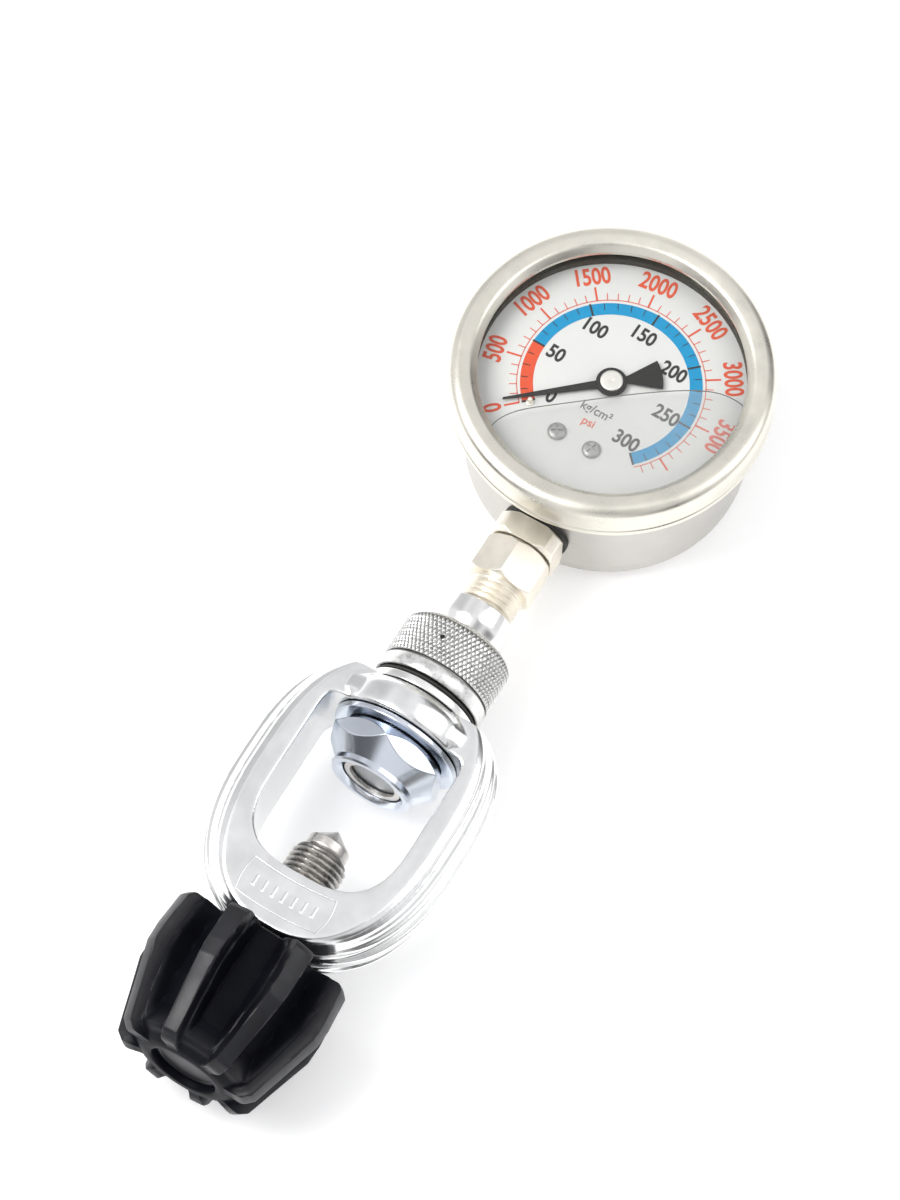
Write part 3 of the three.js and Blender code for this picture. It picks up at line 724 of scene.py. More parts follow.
def make_dial_screws():
    """Two domed screws with a cross cut in each head."""
    seat = DIAL_TOP + 0.06
    for side, degrees in (("left", 30), ("right", 70)):
        node = "dial_screw_" + side
        x, y, _ = middle(node)
        head = turned(node + "_head", [
            (0, seat - 1.6), (0.9, seat - 1.6), (0.9, seat), (2.0, seat, 0.1), (2.0, seat + 0.45, 0.3),
            (1.4, seat + 0.85, 0.5), (0, seat + 0.92),
        ], "gauge", 64, corner=0.08)
        cross = [
            prism("cross", rectangle(-a, a, -b, b), seat + 0.35, seat + 2)
            for a, b in ((1.25, 0.22), (0.22, 1.25))
        ]
        carve(head, *cross)
        head.data.transform(Matrix.Rotation(math.radians(degrees), 4, "Z"))
        shift(head, x, y, 0)
        stands_for(head, node, SCREW_GREY)


def make_stop_pin():
    x, y, _ = middle("stop_pin")
    base = DIAL_TOP + 0.02
    tip = high("stop_pin").z
    pin = turned("zero_stop", [
        (0, base), (0.85, base), (0.85, base + 0.25), (0.5, base + 0.35), (0.5, tip, 0.3), (0, tip),
    ], "gauge", 32, corner=0.1)
    shift(pin, x, y, 0)
    stands_for(pin, "stop_pin")


make_dial()
make_bands()
make_black_print()
make_red_print()
make_unit_print()
make_dial_screws()
make_stop_pin()


# ---------- pointer ----------

POINTER_REST = 220.5
POINTER_LENGTH = 23.0


def make_pointer():
    """A tapered blade with a fan tail, its hub, and the cap over the hub."""
    bottom, top = span("pointer", "z")
    tail_radius = 10.8
    tail_half = 18
    waist = -3.2
    tail = [polar(tail_radius, 180 + tail_half - 2 * tail_half * i / 16) for i in range(17)]
    outline = [(0, 1.0), (POINTER_LENGTH, 0.22), (POINTER_LENGTH, -0.22), (0, -1.0), (waist, -0.75)]
    outline += tail + [(waist, 0.75)]
    blade = prism("pointer_blade", outline, bottom, top, 0.06)
    hub = turned("hub", [
        (1.2, bottom), (3.25, bottom, 0.1), (3.25, top + 0.25, 0.15), (2.5, top + 0.3, 0.05),
        (1.2, top + 0.05),
    ], "gauge", 64, corner=0.05)
    pointer = merge("pointer_blade", [blade, hub])
    shade(pointer)
    pointer.data.transform(Matrix.Rotation(math.radians(POINTER_REST), 4, "Z"))
    stands_for(pointer, "pointer")
    bottom, top = span("pointer_cap", "z")
    cap = turned("pointer_button", [
        (0, bottom), (2.4, bottom), (2.4, top - 0.15, 0.2), (2.1, top, 0.1), (0.42, top + 0.02, 0.05),
        (0.3, top - 0.25, 0.05), (0, top - 0.25),
    ], "gauge", 64, corner=0.05)
    stands_for(cap, "pointer_cap", CREAM_METAL)


CREAM_METAL = metal("cream_metal", (0.92, 0.90, 0.84), 0.35, "gauge", marks=0.3)
make_pointer()


# ---------- liquid fill ----------

LEVEL_ANGLE = math.radians(36.5)  # the liquid's surface crosses the tilted dial at this angle
LEVEL_OFFSET = -4.2  # its distance from the pointer axis, mm
FILL_RADIUS = 28.1


def level_curve(steps):
    """The liquid's edge on the window, from left to right, dropping where it meets the wall."""
    along = Vector((math.cos(LEVEL_ANGLE), math.sin(LEVEL_ANGLE)))
    across = Vector((-math.sin(LEVEL_ANGLE), math.cos(LEVEL_ANGLE)))
    half = math.sqrt(FILL_RADIUS ** 2 - LEVEL_OFFSET ** 2) - 0.25
    points = []
    for i in range(steps + 1):
        share = -1 + 2 * i / steps
        drop = 5.5 * abs(share) ** 7
        wave = 0.5 * math.sin(3.2 * share + 0.6)
        spot = along * (share * half) + across * (LEVEL_OFFSET + wave - drop)
        if spot.length > FILL_RADIUS - 0.05:
            spot = spot.normalized() * (FILL_RADIUS - 0.05)
        points.append(spot)
    return points


def make_liquid():
    edge = level_curve(48)
    start = math.atan2(edge[-1].y, edge[-1].x)
    stop = math.atan2(edge[0].y, edge[0].x)
    while start < stop:
        start += 2 * math.pi
    arc = [
        Vector((math.cos(a), math.sin(a))) * FILL_RADIUS
        for a in [start + (stop - start) * i / 96 for i in range(1, 96)]
    ]
    outline = [tuple(p) for p in edge + arc]
    liquid = prism("fill_liquid", outline, WINDOW_LOW - 0.32, WINDOW_LOW - 0.05)
    trim(liquid, "window", LIQUID)


def bead_along(name, points, radius, sides):
    """A thin round bead through points in mm, with closed ends."""
    bm = bmesh.new()
    rows = []
    for i, point in enumerate(points):
        ahead = points[min(i + 1, len(points) - 1)]
        behind = points[max(i - 1, 0)]
        forward = (ahead - behind).normalized()
        side = forward.cross(Vector((0, 0, 1))).normalized()
        top = side.cross(forward)
        rows.append([
            bm.verts.new(point + side * radius * math.cos(a) + top * radius * math.sin(a))
            for a in [2 * math.pi * k / sides for k in range(sides)]
        ])
    bridge(bm, rows)
    bm.faces.new(rows[0])
    bm.faces.new(rows[-1])
    return mesh_object(name, bm)


def make_meniscus():
    edge = [Vector((p.x, p.y, WINDOW_LOW - 0.2)) for p in level_curve(72)]
    bead = bead_along("fill_meniscus", edge, 0.12, 10)
    trim(bead, "window", MENISCUS_SHADE)


# painted shade: a dark opaque bead stands for the dark line that the clear liquid's curved edge shows
MENISCUS_SHADE = ink("meniscus_painted_shade", (0.16, 0.155, 0.135), 0.25)
make_liquid()
make_meniscus()


# ---------- socket, adapter and stem ----------

PASSAGE = 1.4  # radius of the gas passage


def polygon_radius(sides, across_flats, turns, start):
    """Distance from the axis to the faces of a regular bar, with a corner at the start angle."""
    step = 2 * math.pi / sides
    local = (turns - start) % step - step / 2
    return across_flats / 2 / np.cos(local)


def soft_min(first, second, ease):
    """The smaller of two radii, with the edge between them eased."""
    gap = np.clip(0.5 + 0.5 * (second - first) / ease, 0, 1)
    return second * (1 - gap) + first * gap - ease * gap * (1 - gap)


def profile_radius(profile, station):
    stations = [p[1] for p in profile]
    radii = [p[0] for p in profile]
    return np.interp(station, stations, radii)


def bar_with_flats(name, sides, across_flats, profile, bore, rows, segments, start=0.0, ease=0.12):
    """A turned outline cut by flats, with a bore. Both are (radius, station), low station first."""
    turns = np.arange(segments) * 2 * math.pi / segments
    flats = polygon_radius(sides, across_flats, turns, start)
    first, last = profile[0][1], profile[-1][1]
    rings = [
        (soft_min(flats, profile_radius(profile, station), ease), station)
        for station in np.linspace(first, last, rows)
    ]
    rings += reversed(bore)
    return stack(name, rings, smooth_angle=28)


def thread_rings(major, depth, pitch, first, last, ends):
    """Rings of a right-handed screw thread that fades out at both ends."""
    segments = 96
    rings_per_turn = 12
    turns = np.arange(segments) / segments
    rings = []
    count = int(round((last - first) / pitch * rings_per_turn))
    for i in range(count + 1):
        station = first + (last - first) * i / count
        phase = (station / pitch - turns) % 1.0
        form = np.clip(np.abs(phase - 0.5) * 2.3, 0, 1)
        fade = min(1.0, (station - first) / ends, (last - station) / ends)
        rings.append((major - depth * (1 - (1 - form) * fade), station))
    return rings


def make_socket():
    """The gauge socket: a square end outside the case and the block that carries the tube inside it."""
    seat = -31.2
    end = -36.4
    foot = -26.5
    tip = -44.0
    block_top = -8.5
    profile = [(7.5, end), (8.6, end + 0.8), (8.6, seat - 0.8), (7.7, seat)]
    bore = [(PASSAGE, end), (PASSAGE, seat)]
    square = bar_with_flats("square", 4, 14.0, profile, bore, 40, 256, math.pi / 4)
    spigot = turned("spigot", [
        (PASSAGE, tip), (4.5, tip), (4.75, -43.6), (4.75, end), (PASSAGE, end),
    ], segments=64)
    neck = turned("neck", rectangle(PASSAGE, 5.7, seat, foot), segments=96)
    block = prism("block", rounded(rectangle(-7.2, 7.2, foot, block_top), 0.8), 8.3, 18.7, 0.2)
    slot = prism("slot", rectangle(-12, 0.5, -25, -17.5), STEM_Z - 4.3, STEM_Z + 4.3)
    carve(block, slot)
    socket = merge("socket_body", [square, spigot, neck, block])
    shade(socket, 28)
    stands_for(socket, "gauge_socket")


def make_seal():
    bottom, top = -30.9, -29.6
    seal = turned("neck_seal", [(5.75, bottom), (7.5, bottom, 0.3), (7.5, top), (5.75, top)], segments=96)
    stands_for(seal, "socket_seal")


def make_adapter():
    """The hexagon, the relief below it and the thread that enters the stem."""
    end, top = span("hex_adapter")
    hex_end = -45.8
    relief = hex_end + 0.1
    profile = [(7.1, hex_end), (8.05, hex_end + 0.8), (8.05, top - 0.8), (7.1, top)]
    hexagon = bar_with_flats("hexagon", 6, 13.9, profile, [(5.05, relief), (5.05, top)], 70, 360)
    collar = turned("relief", rectangle(PASSAGE, 6.0, hex_end - 0.5, relief), corner=0.05)
    thread_top = hex_end - 0.3
    rings = thread_rings(6.4, 0.75, 1.34, end, thread_top, 1.0)
    rings += [(PASSAGE, thread_top), (PASSAGE, end)]
    thread = stack("thread", rings, smooth_angle=30)
    adapter = merge("hex_fitting", [hexagon, collar, thread])
    stands_for(adapter, "hex_adapter")


def make_stem():
    first, top = span("outlet_stem")
    socket_floor = -57.7
    stem = turned("stem_sleeve", [
        (PASSAGE, first, 0.1), (6.4, first, 0.3), (7, first + 0.6, 0.3), (7, -59.2, 0.6), (7.8, -57.2, 0.8),
        (7.8, top, 0.35), (6.7, top, 0.1), (6.7, socket_floor), (PASSAGE, socket_floor),
    ], corner=0.1)
    stands_for(stem, "outlet_stem")


make_socket()
make_seal()
make_adapter()
make_stem()


# ---------- bleed collar ----------

KNURL_TEETH = 72
KNURL_DEPTH = 0.38
COLLAR_RADIUS = high("bleed_collar").x
COLLAR_END, COLLAR_TOP = span("bleed_collar")
PLAIN_TOP = COLLAR_END + 3.8  # the plain band below the knurl ends here
STEM_BORE = 7.3


def make_collar():
    """A collar with a diamond knurl above a plain band; the knurl is cut in the mesh."""
    segments = KNURL_TEETH * 7
    turns = np.arange(segments) / segments * KNURL_TEETH
    cell = 2 * math.pi * COLLAR_RADIUS / KNURL_TEETH
    chamfer = 2.4
    slant = 0.62  # how far a groove turns for each cell it climbs
    r = COLLAR_RADIUS
    rings = [
        (STEM_BORE, COLLAR_END), (r - 0.55, COLLAR_END), (r - 0.25, COLLAR_END + 0.1),
        (r - 0.12, COLLAR_END + 0.35), (r - 0.12, PLAIN_TOP - 0.75), (r - 0.2, PLAIN_TOP - 0.6),
        (r - 0.55, PLAIN_TOP - 0.5), (r - 0.55, PLAIN_TOP - 0.15),
    ]
    rows = 84
    for i in range(rows + 1):
        station = PLAIN_TOP + (COLLAR_TOP - 0.35 - PLAIN_TOP) * i / rows
        top_share = np.clip((station - (COLLAR_TOP - chamfer)) / chamfer, 0, 1)
        body = r - 2.1 * top_share ** 1.6
        lift = station / cell
        one = np.abs((turns + lift * slant) % 1.0 - 0.5) * 2
        two = np.abs((turns - lift * slant) % 1.0 - 0.5) * 2
        groove = 1 - np.clip(np.minimum(one, two) * 1.5, 0, 1)
        fade = min(1.0, i / 3, (rows - i) / 3)
        rings.append((body - KNURL_DEPTH * groove * fade - 0.12 * (1 - fade), station))
    edge = r - 2.3
    rings += [(edge - 0.1, COLLAR_TOP - 0.12), (edge - 0.5, COLLAR_TOP), (STEM_BORE, COLLAR_TOP)]
    collar = stack("knurled_collar", rings, smooth_angle=60)
    vent = turned("vent", rectangle(0, 0.5, 6, 15), "gauge", 24, corner=0)
    shift(vent, -1.5, -66, STEM_Z)
    carve(collar, vent, smooth_angle=60)
    stands_for(collar, "bleed_collar", KNURLED)


def make_collar_rings():
    """The dark ring under the collar and the plain ring under that."""
    ring_low, ring_high = span("collar_oring")
    seal = turned("collar_seal_ring", [
        (10.2, ring_low, 0.2), (11.9, ring_low, 0.28), (11.9, ring_high, 0.28), (10.2, ring_high, 0.2),
    ])
    stands_for(seal, "collar_oring")
    first, last = span("flange_ring")
    flange = turned("flange", [
        (STEM_BORE, first, 0.1), (12.2, first, 0.25), (12.2, last, 0.35), (STEM_BORE, last, 0.1),
    ], segments=160)
    stands_for(flange, "flange_ring")


# the knurl's grooves carry painted shade
KNURLED = knurled_metal("knurled_chrome", (0.84, 0.84, 0.825), COLLAR_RADIUS, KNURL_DEPTH)
make_collar()
make_collar_rings()


# ---------- yoke ----------

YOKE_BOTTOM, YOKE_TOP = span("yoke")
YOKE_HALF = high("yoke").x
YOKE_SEAT = -86.3  # the underside of the boss, and the top of the opening
YOKE_MIDDLE = -105.0  # where it is widest
OPENING_MIDDLE = -106.0
OPENING_BOTTOM = -124.5
OPENING_HALF = 16.2
VOXEL = 0.3 * MM
# inset from the widest outline, half thickness and offset from the middle plane
YOKE_RIBS = [(5.5, YOKE_FACE, 0), (4.2, 9.0, 0), (3.1, 8.0, 0), (2.2, 6.8, 0), (0.0, 1.5, 0),
             (0.8, 0.85, 4.9), (0.8, 0.85, -4.9)]


def oval(half_width, reach_up, power_up, reach_down, power_down, centre, limit):
    """A closed outline of superellipse quarters, cut off at a top limit."""
    count = 160
    points = []
    for i in range(count):
        angle = 2 * math.pi * i / count
        cos, sin = math.cos(angle), math.sin(angle)
        power, reach = (power_up, reach_up) if sin >= 0 else (power_down, reach_down)
        x = half_width * math.copysign(abs(cos) ** (2 / power), cos)
        y = centre + reach * math.copysign(abs(sin) ** (2 / power), sin)
        points.append((x, min(y, limit)))
    return points


def yoke_slab(inset, half, offset):
    reach_down = YOKE_MIDDLE - YOKE_BOTTOM - inset * 0.2
    outline = oval(YOKE_HALF - inset, 31, 2.8, reach_down, 2.4, YOKE_MIDDLE, YOKE_TOP)
    return mesh_object("slab", prism_bmesh(outline, STEM_Z + offset - half, STEM_Z + offset + half))


def yoke_shoulder():
    """An oval swelling that carries the boss into the arms."""
    turns = np.arange(128) / 128 * 2 * math.pi
    half_width = 21
    half_depth = 12.5
    radius = 1 / np.sqrt((np.sin(turns) / half_width) ** 2 + (np.cos(turns) / half_depth) ** 2)
    rings = [(radius * 0.92, YOKE_SEAT), (radius, YOKE_SEAT + 2), (radius, YOKE_TOP - 3.2),
             (radius * 0.94, YOKE_TOP - 1.6), (radius * 0.8, YOKE_TOP - 0.5)]
    return stack("shoulder", rings, closed=False)


def make_yoke():
    """The forging: ribbed slabs joined into one skin, opened by the window and bores, then softened."""
    body = merge("forged_yoke", [yoke_slab(*rib) for rib in YOKE_RIBS])
    outline = oval(OPENING_HALF, YOKE_SEAT - OPENING_MIDDLE, 14, OPENING_MIDDLE - OPENING_BOTTOM, 3.1,
                   OPENING_MIDDLE, YOKE_SEAT)
    opening = mesh_object("opening", prism_bmesh(outline, STEM_Z - 12, STEM_Z + 12))
    apply(body, "REMESH", mode="VOXEL", voxel_size=VOXEL)
    carve(body, opening)
    boss = turned("boss", [
        (0, YOKE_SEAT), (14.9, YOKE_SEAT, 0.6), (15, YOKE_SEAT + 1.5), (15, YOKE_TOP - 2.6, 1.4),
        (13.6, YOKE_TOP - 0.6, 1.0), (11, YOKE_TOP), (0, YOKE_TOP),
    ], segments=160)
    body = merge("forged_yoke", [body, boss, yoke_shoulder()])
    apply(body, "REMESH", mode="VOXEL", voxel_size=VOXEL)
    apply(body, "SMOOTH", factor=0.5, iterations=14)
    for radius, first, last in ((STEM_BORE, YOKE_SEAT, YOKE_TOP), (6.5, YOKE_BOTTOM, OPENING_BOTTOM)):
        bore = turned("bore", rectangle(0, radius, first - 3, last + 3), segments=96, corner=0)
        carve(body, bore, smooth_angle=50)
    stands_for(body, "yoke", FORGED)


def yoke_face_line(name, path, radius):
    """A raised line on the front face of the yoke, half sunk in it."""
    points = [Vector((x, y, STEM_Z + YOKE_FACE - 0.12)) for x, y in path]
    return bead_along(name, points, radius, 12)


def bowed(x, station):
    """A station on a line that bows like the yoke's end."""
    return station + 0.0075 * x * x


def make_yoke_marks():
    """A plain border with a row of blank bars, where such a yoke carries its rating."""
    half = 9.5
    bottom = -134.6
    height = 8.0
    upper = [(x, bowed(x, -126.6)) for x in np.linspace(-half, half, 40)]
    lower = [(x, bowed(x, bottom)) for x in np.linspace(-half, half, 40)]
    left = [
        (-half - 0.6 * math.sin(share * math.pi), bowed(half, bottom + height * share))
        for share in np.linspace(0, 1, 14)
    ]
    right = [(-x, y) for x, y in left]
    lines = [yoke_face_line("line", path, radius) for path, radius in (
        (upper, 0.24), (lower, 0.2), (left, 0.2), (right, 0.2))]
    border = merge("yoke_plate_border", lines)
    shade(border, 40)
    trim(border, "yoke", FORGED)
    bars = []
    for i in range(7):
        x = -6.9 + 2.3 * i
        centre = bowed(x, -130.7)
        bars.append(yoke_face_line("bar", [(x, centre + 0.3 * step) for step in range(-4, 5)], 0.42))
    plain = merge("yoke_plate_bars", bars)
    shade(plain, 40)
    trim(plain, "yoke", FORGED)


make_yoke()
make_yoke_marks()


# ---------- retainer and inlet ----------

def make_washer():
    bottom, top = span("thrust_washer")
    washer = turned("thrust_ring", [
        (STEM_BORE, bottom, 0.15), (14.2, bottom, 0.35), (14.2, top, 0.2), (STEM_BORE, top, 0.1),
    ], segments=160)
    stands_for(washer, "thrust_washer")


def make_retainer():
    """A hexagon turned to a cone on each side of a ridge, with a plain nose and a stepped bore."""
    nose, seat = span("retainer_nut")
    ridge = -91.1
    ridge_radius = 13.86
    slope = 0.9
    nose_radius = 9.35
    foot = ridge - (ridge_radius - nose_radius) / slope
    profile = [
        (nose_radius - 0.35, nose), (nose_radius, nose + 0.35), (nose_radius, foot), (ridge_radius, ridge),
        (ridge_radius - (seat - ridge) * slope, seat),
    ]
    bore = [
        (7.9, nose), (7.1, nose + 0.6), (6.9, nose + 0.9), (6.9, nose + 3.6), (PASSAGE, nose + 3.7),
        (PASSAGE, nose + 5), (STEM_BORE, nose + 5.05), (STEM_BORE, seat),
    ]
    nut = bar_with_flats("retainer", 6, 24.0, profile, bore, 130, 384, 0.0, 0.15)
    stands_for(nut, "retainer_nut")


def make_filter():
    """The sintered disc in the nose and the open clip that holds it."""
    bottom, top = span("filter_disc")
    radius = 6.6
    disc = turned("filter_plug", [
        (0, bottom - 0.35, 1), (5.0, bottom, 0.8), (radius, bottom, 0.2), (radius, top, 0.2), (0, top),
    ], segments=96)
    stands_for(disc, "filter_disc", SINTERED)
    bottom, top = span("filter_circlip")
    ring = turned("filter_clip", rectangle(5.3, radius, bottom, top), corner=0.1)
    gap = prism("gap", rectangle(-0.9, 0.9, -99, -94), STEM_Z, STEM_Z + 9)
    carve(ring, gap)
    stands_for(ring, "filter_circlip")


SINTERED = metal("sintered_filter", (0.42, 0.43, 0.44), 0.32, grain=3.0, variation=0.25)
make_washer()
make_retainer()
make_filter()


# ---------- hand screw ----------

THREAD_RADIUS = 6.2
THREAD_DEPTH = 0.78
# the thread's grooves carry painted shade
THREADED = knurled_metal("threaded_steel", (0.74, 0.715, 0.68), THREAD_RADIUS, THREAD_DEPTH)


def make_screw():
    """The threaded screw, with a blind hole that holds the spigot of its conical point."""
    first, end = span("yoke_screw")
    pitch = 1.27
    hole, hole_end = 2.3, end - 3.3
    rings = [(0.0, first), (5.6, first)]
    rings += thread_rings(THREAD_RADIUS, THREAD_DEPTH, pitch, first + 0.3, end - 0.1, 1.2)
    rings += [(5.3, end), (hole, end), (hole, hole_end), (0.0, hole_end)]
    screw = stack("hand_screw_thread", rings, smooth_angle=30)
    stands_for(screw, "yoke_screw", THREADED)
    foot, point = span("thrust_tip")
    tip = turned("screw_point", [
        (0, foot), (2, foot), (2, end + 0.3), (4.3, end + 0.3, 0.2), (4.7, end + 0.9, 0.2),
        (4.7, point - 3.5, 0.25), (0.25, point - 0.15, 0.2), (0, point),
    ], segments=96, corner=0.08, smooth_angle=25)
    stands_for(tip, "thrust_tip")


make_screw()


# ---------- knob ----------

KNOB_END, KNOB_START = span("knob")
KNOB_LENGTH = KNOB_START - KNOB_END
RIDGES = 8
KNOB_SEGMENTS = RIDGES * 72
KNOB_PHASE = 0.54  # how far the ridges are turned from straight up, in half spacings
TAPER = 17.6  # the taper reaches from the free end to this height
CREST_RADIUS = 21.3
CREST_FOOT = 15.8  # the crest's radius at the free end, if the taper ran straight to it
# radius and height above the knob's free end
CREST = [(14.3, 0.0), (16.3, 1.6), (21.2, TAPER), (CREST_RADIUS, 21.6), (20.9, 26.0), (20.6, 29.2),
         (19.6, KNOB_LENGTH)]
LEDGE = [(13.2, 0.0), (14.2, 1.6), (18.3, TAPER), (18.6, 21.6), (18.3, 28.6), (17.6, KNOB_LENGTH)]
FLOOR = [(11.4, 0.0), (12.0, 1.6), (13.6, 14.0), (13.8, 21.6), (14.0, 28.6), (13.8, KNOB_LENGTH)]
WIDTH_HEIGHTS = [0, TAPER, 30.4]
RIDGE_HALF = [1.75, 2.05, 2.5]
LEDGE_WIDTH = [0.8, 0.9, 0.9]


def grip_plastic(name):
    """The knob's nylon with painted shade: its reflection is turned down with depth below the ridge crests,
    so the valleys go dead black and the crests keep their sheen.
    """
    nodes = moulded_plastic(name)
    along, radius, _ = nodes.around("stem")
    rise = nodes.math("SUBTRACT", along, KNOB_END * MM)
    slope = nodes.times(rise, (CREST_RADIUS - CREST_FOOT) / TAPER)
    crest = nodes.math("MINIMUM", nodes.plus(slope, CREST_FOOT * MM), CREST_RADIUS * MM)
    depth = nodes.math("SUBTRACT", crest, radius)
    # painted shade: reflection falls from 0.46 near the crests to 0.04 deep in the valleys
    nodes.feed("Specular IOR Level", nodes.spread(depth, 0.46, 0.04, 0.8 * MM, 4.2 * MM))
    return nodes.material


def smooth_step(edge0, edge1, value):
    t = np.clip((value - edge0) / (edge1 - edge0), 0, 1)
    return t * t * (3 - 2 * t)


def from_ridge(turns, height):
    """Distance round the knob from the middle of the nearest ridge."""
    pitch = 2 * math.pi * profile_radius(CREST, height) / RIDGES
    return pitch / 2 - np.abs((turns * RIDGES) % 1.0 - 0.5) * pitch


def knob_radius(turns, height):
    """Radius at each share of a turn: flat ridges, a ledge beside each, and a floor between them."""
    across = from_ridge(turns, height)
    crest = profile_radius(CREST, height) - 0.018 * across ** 2
    ridge_half = np.interp(height, WIDTH_HEIGHTS, RIDGE_HALF)
    ledge_half = ridge_half + np.interp(height, WIDTH_HEIGHTS, LEDGE_WIDTH)
    floor_open = np.interp(height, [1.5, 8.0], [0.0, 1.0])
    to_ledge = smooth_step(ridge_half - 0.25, ridge_half + 0.55, across)
    to_floor = smooth_step(ledge_half - 0.1, ledge_half + 1.1, across) * floor_open
    radius = crest * (1 - to_ledge) + profile_radius(LEDGE, height) * to_ledge
    return radius * (1 - to_floor) + profile_radius(FLOOR, height) * to_floor


def make_knob():
    """The grip, from the recess in its free end outwards, along its ridges and back through its bore."""
    turns = (np.arange(KNOB_SEGMENTS) / KNOB_SEGMENTS + 0.5 / RIDGES * KNOB_PHASE) % 1.0
    ridge = 1 - smooth_step(1.6, 2.2, from_ridge(turns, 0))
    edge_low = knob_radius(turns, 0.0)
    recess = 7.5
    rim = 9.6
    rings = [(recess, KNOB_END + 2.2), (recess, KNOB_END + 0.5), (7.65, KNOB_END + 0.3),
             (8.0, KNOB_END + 0.2), (9.2, KNOB_END + 0.2), (rim, KNOB_END + 0.35)]
    for share in (0.15, 0.35, 0.6, 0.85):
        radius = rim + (edge_low - 0.5 - rim) * share
        dip = (1 - ridge) * 1.7 * share + 0.3 * (1 - share) * ridge
        rings.append((radius, KNOB_END + dip + 0.15 * (1 - share)))
    rings.append((edge_low - 0.25, KNOB_END + (1 - ridge) * 1.8 + 0.06))
    rows = 96
    for i in range(rows + 1):
        height = 0.25 + (KNOB_LENGTH - 0.5) * i / rows
        station = KNOB_END + height + (1 - ridge) * 1.8 * max(0.0, 1 - height / 5)
        rings.append((knob_radius(turns, height), station))
    edge_high = knob_radius(turns, KNOB_LENGTH)
    bore, bore_end = 6.5, KNOB_START - 1.6
    pocket, pocket_end = 9.3, KNOB_END + 6.4
    rings += [(edge_high - 0.3, KNOB_START), (bore, KNOB_START), (bore, bore_end), (pocket, bore_end),
              (pocket, pocket_end), (recess, pocket_end)]
    knob = stack("grip_knob", rings, smooth_angle=40)
    stands_for(knob, "knob", grip_plastic("grip_plastic"))


def make_knob_plug():
    bottom, top = span("knob_end_plug")
    plug = turned("knob_cover", [
        (0, bottom + 0.1), (6.2, bottom + 0.1, 0.3), (6.5, bottom, 0.2), (7.2, bottom, 0.3), (7.2, top),
        (0, top),
    ], corner=0.1)
    stands_for(plug, "knob_end_plug")


make_knob()
make_knob_plug()


# ---------- stage, light and camera ----------

def make_floor():
    """A pale floor that the knob and the far edge of the case rest on."""
    knob_bottom = Vector((0, -149, low("knob").z - 0.15))  # under the knob's widest part
    case_edge = Vector((0, CASE_RADIUS - 3.4, -0.15))
    slope = math.atan2(case_edge.z - knob_bottom.z, case_edge.y - knob_bottom.y)
    bm = bmesh.new()
    bmesh.ops.create_grid(bm, x_segments=8, y_segments=8, size=2500)
    bmesh.ops.rotate(bm, verts=bm.verts, cent=(0, 0, 0), matrix=Matrix.Rotation(slope, 3, "X"))
    bmesh.ops.translate(bm, verts=bm.verts, vec=knob_bottom)
    floor = mesh_object("floor", bm)
    nodes = Finish("floor_paint")
    patches = nodes.noise(3, 2)
    nodes.feed("Base Color", nodes.ramp(patches, (0.3, (0.93, 0.93, 0.93)), (0.7, (0.95, 0.95, 0.95))))
    nodes.set(Roughness=0.9, Emission_Color=(1, 1, 1, 1), Emission_Strength=0.3)
    paint(floor, nodes.material)


def area_light(name, location, size, power):
    """A soft light that faces the middle of the object."""
    light = bpy.data.lights.new(name, "AREA")
    light.shape = "RECTANGLE"
    light.size, light.size_y = size
    light.energy = power
    obj = add_object(name, light)
    obj.location = location
    target = Vector((0, -0.05, 0))
    obj.rotation_euler = (target - Vector(location)).to_track_quat("-Z", "Y").to_euler()


def greys(stops):
    """Nearly neutral colours from (place, brightness)."""
    return [(place, (value, value, value * 1.02)) for place, value in stops]


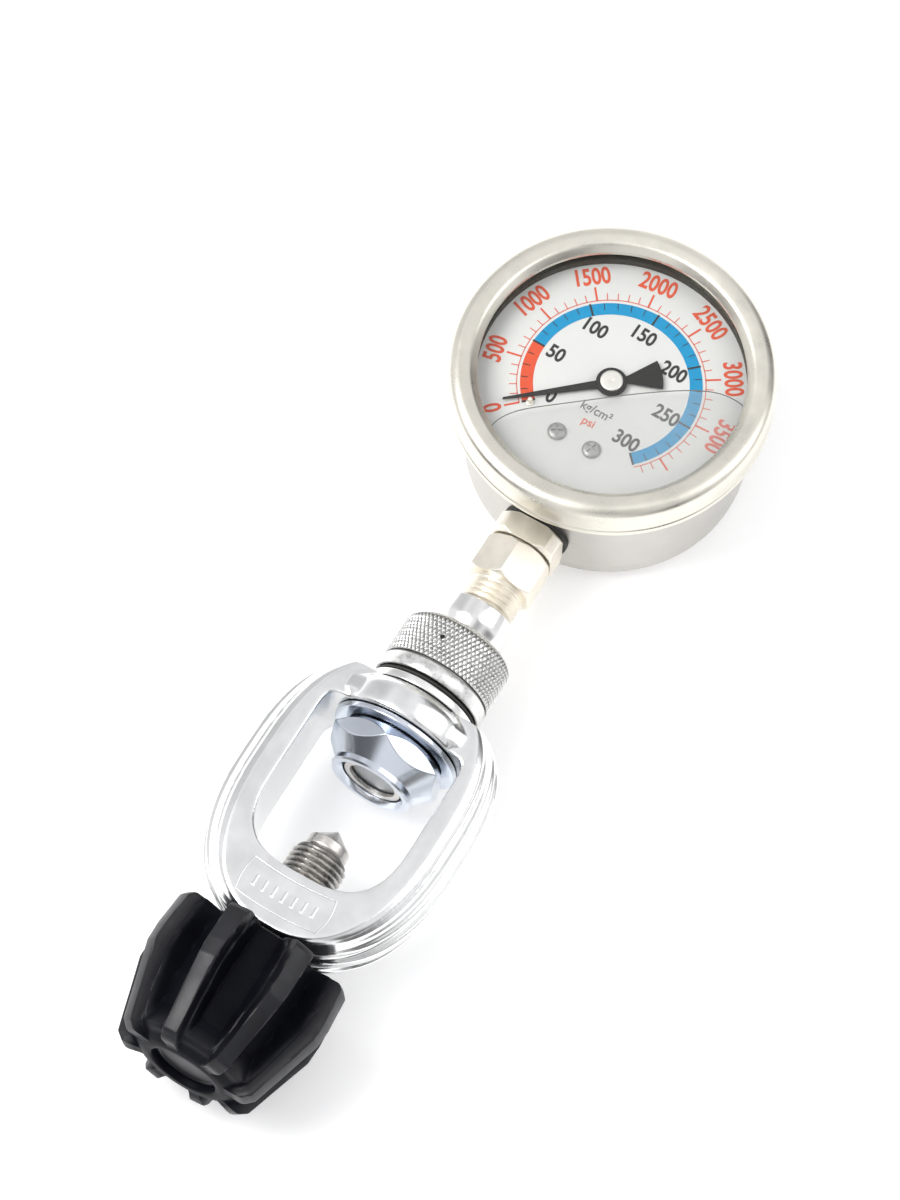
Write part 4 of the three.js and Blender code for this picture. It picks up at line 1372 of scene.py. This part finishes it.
def make_world():
    """A studio dome: upright white and dark cards round the sides, and broad soft bands overhead."""
    world = bpy.data.worlds.new("studio")
    bpy.context.scene.world = world
    world.use_nodes = True
    nodes = Nodes(world.node_tree, "Generated")
    x, y, z = nodes.split()
    angle = nodes.math("ARCTAN2", y, x)
    mix = nodes.new("Mix")
    mix.data_type = "RGBA"  # its colours are inputs 6 and 7, and output 2
    nodes.link(nodes.spread(z, 0, 1, 0.45, 0.7), mix.inputs["Factor"])
    nodes.link(nodes.ramp(nodes.spread(angle, 0, 1, -math.pi, math.pi), *greys(SIDE_CARDS)), mix.inputs[6])
    nodes.link(nodes.ramp(nodes.spread(x, 0, 1, -1, 1), *greys(OVERHEAD_BANDS)), mix.inputs[7])
    nodes.link(mix.outputs[2], nodes.tree.nodes["Background"].inputs["Color"])


SIDE_CARDS = [(0.0, 0.9), (0.08, 0.8), (0.11, 0.12), (0.19, 0.18), (0.23, 0.95), (0.36, 0.85), (0.4, 0.1),
              (0.46, 0.22), (0.5, 0.9), (0.6, 0.7), (0.66, 0.12), (0.72, 0.18), (0.76, 0.95), (0.88, 0.7),
              (0.93, 0.58), (1.0, 0.9)]
OVERHEAD_BANDS = [(0.0, 0.5), (0.12, 0.55), (0.22, 0.9), (0.32, 0.74), (0.43, 0.86), (0.55, 0.98),
                  (0.63, 0.42), (0.71, 0.4), (0.8, 0.88), (1.0, 0.75)]


def make_camera():
    """A view from above over the knob's end, from the right and a little over a metre away."""
    azimuth = math.radians(28.74)
    elevation = math.radians(65.23)
    roll = math.radians(2.13)
    aim = Vector((-0.00714, -0.05319, 0.0137))
    distance = 1.1742
    level_share = math.cos(elevation)
    back = Vector((math.sin(azimuth) * level_share, -math.cos(azimuth) * level_share, math.sin(elevation)))
    level = Vector((math.cos(azimuth), math.sin(azimuth), 0))
    upright = back.cross(level)
    right = math.cos(roll) * level + math.sin(roll) * upright
    up = -math.sin(roll) * level + math.cos(roll) * upright
    data = bpy.data.cameras.new("camera")
    data.lens = 170
    data.sensor_width = 36
    data.clip_end = 20
    camera = add_object("camera", data)
    turn = Matrix((right, up, back)).transposed()
    camera.matrix_world = Matrix.Translation(aim + back * distance) @ turn.to_4x4()
    bpy.context.scene.camera = camera


make_floor()
make_world()
make_camera()
area_light("key", (-0.5, -0.35, 0.9), (0.6, 0.6), 6.5)
area_light("fill", (0.6, 0.3, 0.8), (0.5, 0.9), 2)
bpy.context.scene.view_settings.view_transform = "Standard"
